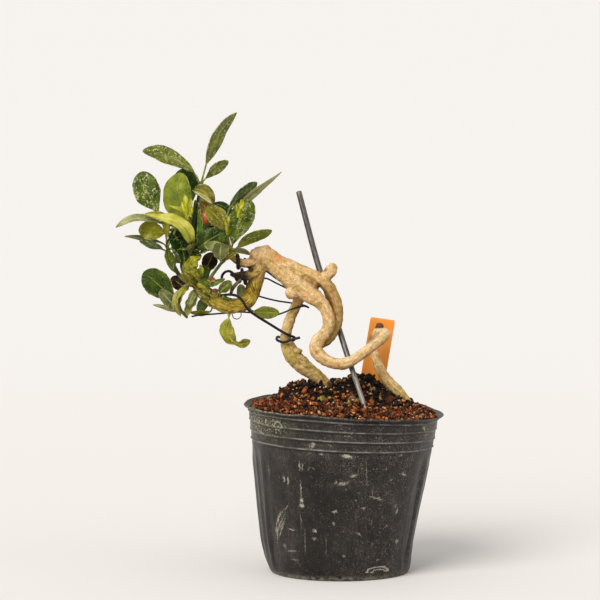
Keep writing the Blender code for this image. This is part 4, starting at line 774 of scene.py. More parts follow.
def pot_outline():
    """(r, z, kind) rows of the outer face from the lip's crest down; kind 0 is the lip."""
    rows = [(51.70, 85.82), (51.95, 86.02), (52.25, 86.08), (52.50, 85.98), (52.62, 85.72),
            (52.58, 85.42), (52.36, 85.18), (51.9, 84.98), (51.3, 84.76), (50.8, 84.52)]
    z = 84.3
    while z > 66.0:
        rows.append((wall_radius(z), z))
        z -= 0.30
    while z > 9.0:
        rows.append((wall_radius(z), z))
        z -= 1.15
    for r, z in smooth([(wall_radius(9.4), 9.0), (38.25, 6.0), (37.5, 3.2), (36.7, 1.1),
                        (35.9, 0.25), (35.0, 0.0)], 22)[1:]:
        rows.append((r, z))
    return rows


def make_pot():
    n = 320
    phi = np.linspace(-math.pi, math.pi, n, endpoint=False)   # 0 is the front line
    rows = pot_outline()
    rng = np.random.default_rng(4)
    phases = rng.uniform(0, 6.28, 40)

    def ripple(k, count, amp=1.0):
        return amp * np.sin(count * phi + phases[k])

    edge_wave = ripple(0, 5, 0.25) + ripple(1, 11, 0.16) + ripple(2, 23, 0.10) + ripple(3, 41, 0.07)
    verts, wall, lime, bead = [], [], [], []
    arc = phi * 45.0
    side = np.abs(phi)
    for i, (r, z) in enumerate(rows):
        radius = np.full(n, r)
        height = np.full(n, z)
        if z > 84.4:                                            # lip
            radius = radius + 0.45 * edge_wave * fade(z, 84.4, 85.6)
            height = height + (ripple(4, 7, 0.22) + ripple(5, 17, 0.12)) * fade(z, 84.3, 85.3)
        lit, dim = np.zeros(n), np.zeros(n)
        if 60 < z < 84.4:                                       # raised beads
            for k, rib in enumerate(RIB_HEIGHTS):
                wander = 0.30 * np.sin(3 * phi + phases[6 + k]) + 0.18 * np.sin(9 * phi + phases[12 + k])
                crest = rib + wander * fade(side, 0.5, 1.3)
                amp = 0.50 + 0.10 * np.sin(4 * phi + phases[18 + k])
                radius = radius + amp * np.exp(-((z - crest) / 0.42) ** 2)
                radius = radius - 0.16 * np.exp(-((z - crest + 1.2) / 0.8) ** 2)
                # painted highlight along each bead's upper edge and painted shade just below it
                lit = np.maximum(lit, np.exp(-((z - crest - 0.10) / 0.26) ** 2))
                dim = np.maximum(dim, np.exp(-((z - crest + 0.85) / 0.42) ** 2))
        # the wall buckles into soft upright folds towards its sides
        low = fade(z, 66, 56) * fade(z, 2.5, 14)
        folds = (0.42 * np.sin(13 * phi + phases[25]) * fade(side, 0.75, 1.2)
                 + 0.34 * np.sin(29 * phi + phases[26]) * fade(side, 0.80, 1.20)
                 + 0.12 * np.sin(7 * phi + phases[27]))
        radius = radius + folds * low
        # faint upright ridges where the foot's panels meet
        for seam in (-0.48, 0.33, 1.02, -1.15, 1.9, -2.0, 2.7, -2.8):
            radius = radius + 0.22 * np.exp(-((phi - seam) / 0.014) ** 2) * fade(z, 50, 30) * fade(z, 0.6, 5)
            radius = radius - 0.25 * np.exp(-((phi - seam - 0.10) / 0.07) ** 2) * fade(z, 40, 20) * fade(z, 0.6, 5)
        # a pressed-in dent low on the left and one on the right
        for mid, up, wide, tall, deep in ((-1.02, 13.0, 0.13, 9.0, 1.1), (1.12, 34.0, 0.10, 24.0, 0.7),
                                          (-1.25, 42.0, 0.11, 26.0, 0.6), (0.62, 24.0, 0.4, 18.0, 0.35),
                                          (2.4, 40.0, 0.25, 18.0, 0.9), (-2.5, 30.0, 0.3, 16.0, 0.7)):
            radius = radius - deep * np.exp(-((phi - mid) / wide) ** 2 - ((z - up) / tall) ** 2) * fade(z, 0.6, 5)
        x, y, zz = soften(radius * np.sin(phi), -radius * np.cos(phi), height)
        verts.append(np.stack([x, y, zz], 1) * MM)
        crest = fade(z, 84.9, 85.5)
        foot = fade(z, 3.4, 0.8) * 0.75
        worn = np.clip(crest * (0.30 + 0.75 * np.exp(-((phi + 0.85) / 0.45) ** 2)) + foot, 0, 1)
        bead.append(np.stack([lit, dim, np.zeros(n)], 1))
        wall.append(np.stack([arc, height, worn], 1))
        patch = (0.95 * np.exp(-((phi + 1.15) / 0.26) ** 2 - ((z - 80) / 6.5) ** 2)
                 + 0.40 * np.exp(-((phi + 0.80) / 0.20) ** 2 - ((z - 79) / 6.0) ** 2)
                 + 0.75 * np.exp(-((phi - 1.12) / 0.09) ** 2 - ((z - 78) / 3.5) ** 2)
                 + 0.35 * np.exp(-((phi + 0.38) / 0.06) ** 2 - ((z - 69) / 3.0) ** 2)
                 + 0.5 * np.exp(-((phi - 2.3) / 0.3) ** 2 - ((z - 77) / 6.0) ** 2)
                 + 0.4 * np.exp(-((phi + 2.2) / 0.4) ** 2 - ((z - 79) / 5.0) ** 2))
        lime.append(np.clip(patch, 0, 1))
    outer = len(rows)
    # underside, then up the inner face to the lip
    inner = [(30.0, 0.02), (22.0, 0.02), (14.0, 0.02), (6.0, 0.02), (0.6, 0.02), (0.6, 1.0), (14.0, 1.0), (30.0, 1.0)]
    inner += [(34.6, 1.25), (36.3, 3.4), (37.5, 7.2), (wall_radius(12) - POT_WALL, 12.2),
              (wall_radius(40) - POT_WALL, 40.0), (wall_radius(67) - POT_WALL, 67.0)]
    inner += [(wall_radius(z) - POT_WALL, z) for z in (76.0, 80.0, 82.5, 84.0)]
    inner += [(50.1, 84.75), (50.9, 85.2), (51.4, 85.5)]
    for r, z in inner:
        radius = np.full(n, r) + 0.45 * edge_wave * fade(z, 84.4, 85.6)
        height = np.full(n, z) + (ripple(4, 7, 0.22) + ripple(5, 17, 0.12)) * fade(z, 84.3, 85.3)
        x, y, zz = soften(radius * np.sin(phi), -radius * np.cos(phi), height)
        verts.append(np.stack([x, y, zz], 1) * MM)
        wall.append(np.stack([arc, height, np.full(n, 0.35 if z > 76 else 0.1)], 1))
        lime.append(np.full(n, 0.12 if z > 70 else 0.0))
        bead.append(np.zeros((n, 3)))
    total = len(verts)
    faces = []
    for i in range(total):
        j = (i + 1) % total
        for k in range(n):
            m = (k + 1) % n
            faces.append((i * n + k, j * n + k, j * n + m, i * n + m))
    work = Pieces()
    work.add(np.concatenate(verts), faces, 0, wall=np.concatenate(wall), lime=np.concatenate(lime),
             bead=np.concatenate(bead))
    obj = work.object("pot_shell", [pot_look()], sharp=50)
    bm = bmesh.new()
    bm.from_mesh(obj.data)
    bmesh.ops.recalc_face_normals(bm, faces=bm.faces)
    bm.to_mesh(obj.data)
    bm.free()
    # six drain holes through the floor
    drills = Pieces()
    a = np.linspace(0, 2 * math.pi, 36, endpoint=False)
    for k in range(6):
        turn = 2 * math.pi * (k + 0.5) / 6
        ring = np.stack([22.0 * math.cos(turn) + 4.0 * np.cos(a), 22.0 * math.sin(turn) + 4.0 * np.sin(a)], 1)
        verts = np.concatenate([np.column_stack([ring, np.full(36, z)]) for z in (-3.0, 3.0)]) * MM
        faces = [(i, (i + 1) % 36, 36 + (i + 1) % 36, 36 + i) for i in range(36)]
        faces += [tuple(range(36))[::-1], tuple(range(36, 72))]
        drills.add(verts, faces)
    drill = drills.object("drain_drills", [])
    mod = obj.modifiers.new("drain", "BOOLEAN")
    mod.operation = "DIFFERENCE"
    mod.solver = "EXACT"
    mod.object = drill
    graph = bpy.context.evaluated_depsgraph_get()
    mesh = bpy.data.meshes.new_from_object(obj.evaluated_get(graph))
    obj.modifiers.clear()
    obj.data = mesh
    bpy.data.objects.remove(drill, do_unlink=True)
    return obj


# ---------------------------------------------------------------- soil surface
MOUND = (-6.0, 8.0)
PLATEAU = (22.0, 22.0, 6.0, 16.0)
FOOT = (30.0, 48.0, 27.0, 34.0)
HEAP = 4.0


def reach(spans, dx, dy):
    a = spans[0] if dx < 0 else spans[1]
    b = spans[2] if dy < 0 else spans[3]
    r = math.hypot(dx, dy) or 1.0
    return 1.0 / math.hypot(dx / r / a, dy / r / b)


def at_foot(x, y):
    """1 where the right leg enters the soil, falling to 0 round it."""
    return math.exp(-0.5 * (((x - 34.0) / 5.2) ** 2 + ((y - 3.0) / 6.5) ** 2))


def mound_share(x, y):
    """0 on the root ball's flat top, 1 at its foot and beyond."""
    dx, dy = x - MOUND[0], y - MOUND[1]
    near, far = reach(PLATEAU, dx, dy), reach(FOOT, dx, dy)
    return min(1.0, max(0.0, (math.hypot(dx, dy) - near) / (far - near)))


def soil_rise(x, y):
    r = math.hypot(x - 1.9, y)
    dish = (5.2 if x < 0 else 4.2) * (1 - min(1.0, r / 49.0) ** 2.4)
    t = mound_share(x, y)
    west = min(1.0, max(0.0, (14.0 - x) / 22.0))
    ball = (12.3 - 5.6 * west * west * (3 - 2 * west)) * (1 - t * t * (3 - 2 * t))
    lump = 1.1 * noise.noise(Vector((x, y, 3.0)) * 0.13) * min(1.0, 2 * (1 - min(1.0, r / 50)))
    return dish + ball + lump + HEAP * at_foot(x, y) - 0.6


def soil_top(x, y):
    """Height in mm of the soil at (x, y) mm."""
    return float(soften(x - 1.9, y, 85.0)[2]) + 1.0 + soil_rise(x, y)


def on_soil(u, v):
    """Where the sight line through (u, v) first meets the soil, in mm."""
    for y in np.arange(-50.0, 50.0, 0.5):
        p = at(u, v, y) / MM
        if math.hypot(p[0] - 1.9, p[1]) < 49.5 and p[2] <= soil_top(p[0], p[1]):
            return p
    return None


def make_soil_body():
    n = 200
    a = np.linspace(0, 2 * math.pi, n, endpoint=False)
    gap = POT_WALL + SOIL_GAP
    work = Pieces()
    verts, rows = [], 0
    radii = list(np.linspace(0.3, wall_radius(84) - gap - 0.2, 44))
    for r in radii:
        ring = []
        for k in range(n):
            x, y = 1.9 + r * math.cos(a[k]), r * math.sin(a[k])
            crumbs = 0.55 * noise.noise(Vector((x, y, 9.0)) * 0.55) + 0.25 * noise.noise(Vector((x, y, 2.0)) * 1.3)
            ring.append((x, y, soil_top(x, y) - 0.75 + crumbs))
        verts.append(np.array(ring) * MM)
    side = [(wall_radius(81) - gap - 0.2, 81.0), (wall_radius(60) - gap, 60.0), (wall_radius(30) - gap, 30.0),
            (wall_radius(12) - gap - 0.1, 12.3), (38.3 - gap - 0.1, 7.4), (37.2 - gap - 0.1, 3.8),
            (POT_BASE_R - gap - 0.3, 1.6), (16.0, 1.4), (0.3, 1.4)]
    for r, z in side:
        x, y, zz = soften(r * np.cos(a), r * np.sin(a), np.full(n, z))
        verts.append(np.stack([x, y, zz], 1) * MM)
    rows = len(verts)
    faces = grid_faces(rows, n, closed=True, flip=False)
    faces.append(tuple(range(n))[::-1])
    faces.append(tuple((rows - 1) * n + k for k in range(n)))
    tone = np.tile((0.2, 0.2, 0.0), (rows * n, 1))
    work.add(np.concatenate(verts), faces, 0, tone=tone)
    obj = work.object("soil_body", [SOIL_BED_SHADE])
    bm = bmesh.new()
    bm.from_mesh(obj.data)
    bmesh.ops.recalc_face_normals(bm, faces=bm.faces)
    bm.to_mesh(obj.data)
    bm.free()
    return obj


SOIL_DARK = grain_look("soil_dark", [(0.20, (0.0030, 0.0016, 0.0010)), (0.46, (0.013, 0.0055, 0.0026)),
                                     (0.68, (0.048, 0.020, 0.009)), (0.94, (0.22, 0.115, 0.060))], 0.80, 0.35)
SOIL_RED = grain_look("soil_red", [(0.16, (0.010, 0.0026, 0.0010)), (0.32, (0.090, 0.0190, 0.0040)),
                                   (0.50, (0.270, 0.064, 0.0110)), (0.74, (0.55, 0.165, 0.034)),
                                   (0.94, (0.84, 0.47, 0.195))], 0.80, 0.36)
SOIL_TAN = grain_look("soil_tan", [(0.20, (0.11, 0.050, 0.018)), (0.55, (0.34, 0.20, 0.09)),
                                   (0.85, (0.66, 0.50, 0.32))], 0.9)
SOIL_MOSS = grain_look("soil_moss", [(0.20, (0.035, 0.028, 0.004)), (0.50, (0.13, 0.100, 0.012)),
                                     (0.85, (0.46, 0.38, 0.10))], 0.9)
# near-black bed under the grains, a painted shade for the gaps between them
SOIL_BED_SHADE = grain_look("soil_bed_shade", [(0.16, (0.003, 0.0012, 0.0006)), (0.50, (0.014, 0.0045, 0.0016)),
                                   (0.85, (0.060, 0.020, 0.007))], 0.85, 0.1)


def ball_template(level):
    bm = bmesh.new()
    bmesh.ops.create_icosphere(bm, subdivisions=level, radius=1.0)
    verts = np.array([v.co[:] for v in bm.verts])
    faces = [tuple(v.index for v in f.verts) for f in bm.faces]
    bm.free()
    return verts, faces


def rocks(rng, template, size):
    """One broken grain: a ball cut by random planes, stretched and turned."""
    verts = unit(template)
    planes = unit(rng.normal(size=(7, 3)))
    depth = rng.uniform(0.40, 0.88, 7)
    lean = verts @ planes.T
    cut = np.where(lean > 0.05, depth / np.maximum(lean, 0.05), 9.0).min(1)
    radius = np.minimum(1.0, cut)
    radius *= 1 + 0.07 * np.sin(verts @ rng.normal(size=3) * 5 + rng.uniform(0, 6))
    radius *= 1 + 0.07 * np.sin(verts @ rng.normal(size=3) * 9 + rng.uniform(0, 6))
    verts = verts * radius[:, None] * rng.uniform(0.62, 1.42, 3)
    q, _ = np.linalg.qr(rng.normal(size=(3, 3)))
    return verts @ q.T * size


def dark_share(x, y):
    """How surely a grain at (x, y) mm is one of the root ball's dark ones."""
    t = mound_share(x, y)
    patch = noise.noise(Vector((x, y, 5.0)) * 0.13) + 0.5 * noise.noise(Vector((x, y, 8.0)) * 0.33)
    west = float(fade(x, -25.0, -11.0))
    east = float(fade(x, 4.0, 16.0))
    share = float(fade(0.50 + 0.22 * east - t + 0.55 * patch, -0.12, 0.14)) * (0.25 + 0.75 * west)
    brow = 0.62 * float(fade(0.80 - t + 0.6 * patch, -0.10, 0.30))
    return max(share, brow, min(1.0, 1.15 * at_foot(x, y)))


def soil_heave(x, y):
    """Height in mm of the loose clods at (x, y) mm over the soil's broad form."""
    inner = 1.0 - 0.5 * float(fade(math.hypot(x - 1.9, y), 40.0, 47.0))
    return inner * (1.9 * noise.noise(Vector((x, y, 1.0)) * 0.27) + 0.5 * noise.noise(Vector((x, y, 6.0)) * 0.6))


def make_grains():
    rng = np.random.default_rng(11)
    fine, fine_faces = ball_template(2)
    rough, rough_faces = ball_template(1)
    places = []
    cell = {}

    def free(x, y, gap):
        i, j = int(x // 4), int(y // 4)
        for a in (i - 1, i, i + 1):
            for b in (j - 1, j, j + 1):
                for px, py, pr in cell.get((a, b), ()):
                    if math.hypot(px - x, py - y) < (pr + gap) * 0.80:
                        return False
        return True

    # big grains first, then smaller ones in the gaps
    for target, low, high in ((80, 1.6, 2.3), (360, 1.1, 1.6), (900, 0.7, 1.05), (1700, 0.38, 0.68)):
        made = tries = 0
        while made < target and tries < 60000:
            tries += 1
            r = 48.6 * math.sqrt(rng.random())
            a = rng.uniform(0, 2 * math.pi)
            size = rng.uniform(low, high)
            if r > 48.7 - size * 0.8:
                continue
            x, y = 1.9 + r * math.cos(a), r * math.sin(a)
            if size > 1.7 and mound_share(x, y) > 0.9 and rng.random() < 0.6:
                continue
            if free(x, y, size):
                places.append((x, y, size, 0))
                cell.setdefault((int(x // 4), int(y // 4)), []).append((x, y, size))
                made += 1
    # a loose second layer, so that the surface is not one flat bed
    for _ in range(620):
        r, a = 47.4 * math.sqrt(rng.random()), rng.uniform(0, 2 * math.pi)
        places.append((1.9 + r * math.cos(a), r * math.sin(a), rng.uniform(0.4, 1.25), 1))

    groups = {"red": Pieces(), "dark": Pieces(), "crumbs": Pieces()}
    for x, y, size, layer in places:
        z = soil_top(x, y)
        heave = soil_heave(x, y)
        loose = rng.uniform(0.4, 1.2) if layer else rng.uniform(-0.7, 0.35)
        lift = heave + loose
        dark = rng.random() < dark_share(x, y)
        if rng.random() < 0.12:
            dark = not dark
        odd = rng.random()
        big = size > 0.95
        verts = rocks(rng, fine if big else rough, size) + np.array((x, y, z + lift))
        drift = 0.5 + 0.9 * noise.noise(Vector((x, y, 12.0)) * 0.22)
        tone = float(np.clip(0.40 * drift + 1.05 * rng.random() - 0.16, 0, 1)) ** 1.25
        # painted shade: grains lying lower than the clods round them are darker
        tone *= 0.32 + 0.68 * float(fade(loose + 0.5 * heave, -0.9, 0.45))
        tone *= 1.0 - 0.14 * float(fade(abs(x + 6.0), 16.0, 34.0))
        pick = rng.random()
        if pick > 0.91 and size < 1.15:
            tone = min(1.0, 0.45 * tone + 0.55)
        elif pick > 0.70:
            tone *= 0.30
        elif size > 1.15:
            tone *= 0.62
        elif size > 0.95:
            tone *= 0.84
        wet = rng.random()
        if odd < 0.030:
            key, mat, tone = "crumbs", 0, 0.2 + 0.8 * tone
        elif odd < 0.044:
            key, mat = "crumbs", 1
        elif dark:
            key, mat = "dark", 0
        else:
            key, mat = "red", 0
        groups[key].add(verts * MM, fine_faces if big else rough_faces, mat,
                        tone=np.tile((tone, wet, 0.0), (len(verts), 1)))
    # pale and mossy crumbs seen on the front slope
    for u, v, mat, size, count in ((365, 387, 0, 0.8, 4), (373, 391, 0, 0.9, 4), (355, 402, 0, 0.9, 5),
                                   (351, 403, 1, 1.0, 6), (323, 400, 1, 1.1, 9), (341, 410, 1, 0.9, 8),
                                   (430, 405, 1, 1.1, 7), (436, 407, 1, 0.9, 4), (345, 385, 0, 0.7, 3),
                                   (399, 405, 0, 0.8, 3), (288, 398, 0, 0.7, 3), (376, 394, 0, 0.8, 3),
                                   (399, 396, 1, 0.9, 4), (325, 388, 0, 0.6, 3), (410, 398, 1, 0.7, 3)):
        spot = on_soil(u, v)
        if spot is None:
            continue
        for _ in range(count):
            dx, dy = rng.normal(0, 1.3, 2)
            x, y = spot[0] + dx * 1.6, spot[1] + dy
            if math.hypot(x - 1.9, y) > 48.2:
                continue
            verts = (rocks(rng, fine, size * rng.uniform(0.65, 1.25))
                     + np.array((x, y, soil_top(x, y) + soil_heave(x, y) + 0.9)))
            groups["crumbs"].add(verts * MM, fine_faces, mat,
                                 tone=np.tile((rng.uniform(0.35, 1.0), 0.0, 0.0), (len(verts), 1)))
    return (groups["red"].object("soil_grains_red", [SOIL_RED], sharp=38),
            groups["dark"].object("soil_grains_dark", [SOIL_DARK], sharp=38),
            groups["crumbs"].object("soil_grains_pale", [SOIL_TAN, SOIL_MOSS], sharp=38))


# ---------------------------------------------------------------- tree
LIMBS = {
    "main": [
        (413, 412, 4, 4.0), (406, 401, 4, 5.0), (399, 392.6, 4, 5.8), (391, 384.6, 4.5, 5.9),
        (384.4, 376.4, 5, 5.3), (379.6, 368, 6, 5.0), (376, 359, 7.2, 4.8), (373.8, 350, 8.5, 4.9),
        (372.6, 342, 9, 4.8), (375.6, 336, 8.2, 4.8), (381, 333.4, 5.6, 5.1), (385.2, 333.8, 0.5, 5.5),
        (383, 337.4, -4.5, 5.3), (377.6, 341.8, -8, 5.2), (370, 348, -10.5, 5.0),
        (361, 354.9, -12.3, 5.1), (350, 361.6, -13, 5.4),
        (339, 364.1, -13, 5.7), (325.5, 359.8, -11, 6.0), (316.6, 350.6, -9, 6.9),
        (317.6, 342, -8, 7.0), (323.8, 334.8, -7.5, 6.2), (328.2, 327, -7.5, 6.2),
        (328.4, 317, -7.5, 5.9), (325.1, 308.2, -7, 6.2), (318.6, 300.6, -6, 7.5),
        (308.3, 293, -4.5, 9.4), (297.5, 284, -3, 10.5), (287, 274, -1.5, 10.9),
        (276.5, 265, -0.5, 10.6), (266.5, 257.8, 0, 10.4), (259.5, 255, 0, 9.0),
        (255, 255.6, 0, 7.0),
    ],
    "upper_fork": [
        (279, 262, -1, 7.0), (292, 267.5, -1, 7.0), (305, 273, -1.5, 6.8),
        (317, 278, -1.5, 6.6), (327, 285.5, -1.5, 6.4), (333.3, 296.5, -2, 6.5),
        (336.6, 309, -2.6, 6.5), (336.6, 321, -3.2, 6.1), (333.4, 331.5, -3.6, 5.4),
        (328.3, 339.5, -4.2, 4.6), (321.5, 344.5, -5.6, 4.0),
    ],
    "fork_web": [(299, 277, -2, 6.0), (307, 281.4, -2.6, 5.6), (313, 285.4, -2.6, 4.4),
                 (316.4, 288.6, -2.6, 2.8)],
    "fork_knob": [(322, 280, -1.5, 5.2), (327.5, 274.5, -2, 5.8), (331.6, 269.5, -2.5, 6.2),
                  (333, 267.2, -2.6, 4.8)],
    "lower_knob": [(302, 290, -4, 7.0), (296.5, 292, -4.5, 6.8), (291.4, 293, -5, 6.5),
                   (289.4, 293.4, -5, 5.6)],
    "head_bump": [(262, 257, -1, 8.0), (265.5, 250.5, -1, 6.0), (267, 248.6, -1, 4.4)],
    "left_leg": [
        (341, 404, 9, 3.6), (333.6, 392, 8, 5.0), (323, 381.4, 7, 6.1), (312, 372.8, 6.5, 7.2),
        (301.5, 364.8, 6, 8.2), (293.6, 356.4, 6, 8.4), (288.8, 347.6, 6, 7.2),
        (285.4, 340, 6, 5.6), (286.6, 332, 6, 5.5), (288.8, 323, 6, 5.4),
        (292, 314.5, 5.5, 5.1), (296, 306, 4, 5.2), (300.5, 297, 1.5, 5.6),
        (303.5, 290, -1, 5.4),
    ],
    "leg_burl": [(293, 353, 5, 5.8), (299, 351.2, 4, 3.6), (301, 350.6, 3.8, 2.0)],
    "cut_stub": [(374.6, 343, 8, 4.4), (376.4, 335, 8, 4.4), (378.8, 329.6, 8, 4.3),
                 (380, 326.2, 8, 4.0)],
    "lower_branch": [
        (262, 262, 0, 6.0), (259.6, 270, 1, 6.5), (256.6, 279, 2, 7.2), (253.4, 288.5, 2.5, 7.9),
        (250, 297.4, 2, 7.6), (245, 303.4, 0, 7.2), (237, 305.8, -3, 7.2),
        (226, 305.4, -5, 7.6), (214.6, 300, -6, 8.2), (205.4, 293.6, -5.8, 7.6),
        (199, 287.6, -5, 5.6), (194.4, 283.6, -5, 3.8),
    ],
    "left_stub": [(258, 258, 0, 5.4), (249.5, 263, -0.5, 5.0), (242.5, 263, -1, 4.2),
                  (236, 260.2, -1.5, 3.3), (230.5, 256.4, -2, 2.8), (226.4, 255.4, -2, 2.0)],
    "wired_stub": [(257, 272, 0, 5.4), (248, 275.4, -1.5, 5.4), (241, 275.8, -2.5, 4.3),
                   (235, 275.2, -3, 3.0), (231.4, 274.4, -3.2, 2.0)],
    "crossing_twig": [(204.5, 290, -6, 2.4), (209, 280, -7, 1.9), (216, 270, -8, 1.7),
                      (224, 259.5, -9, 1.5)],
    "centre_twig": [
        (200, 287, -5, 3.6), (196.5, 276, -3.5, 3.0), (193.5, 262, -2.5, 2.6),
        (192.2, 247, -1.5, 2.3), (192.4, 232, -0.5, 2.0), (194.4, 215, 0.5, 1.8),
        (198, 199, 0.8, 1.6), (200.6, 186, 0.5, 1.4),
    ],
    "left_twig": [
        (198, 285.5, -5, 3.2), (187, 281.5, -4, 2.4), (178.5, 274, -3, 2.2),
        (173.2, 264, -2, 2.0), (169.4, 254, -1.5, 1.8), (167.2, 246, -1.5, 1.6),
        (170.5, 236, -2.5, 1.3), (175, 228.5, -3.5, 1.1),
    ],
    "bottom_twig": [
        (200, 288, -6, 3.0), (189.5, 284.5, -8, 2.3), (181.5, 290, -9.5, 2.1),
        (178, 299.5, -10, 2.0), (180.4, 309.5, -10, 1.8), (187, 317.3, -9.5, 1.5),
    ],
    "right_twig": [(231.5, 255, -2, 2.4), (228.4, 243, 0.5, 2.0), (226.6, 231, 3, 1.7),
                   (225.8, 221, 4.5, 1.4)],
}
TWIGS = ("crossing_twig", "centre_twig", "left_twig", "bottom_twig", "right_twig", "filler")
WOOD = np.array([q for path in LIMBS.values() for q in smooth(rows_from(path), 80)])

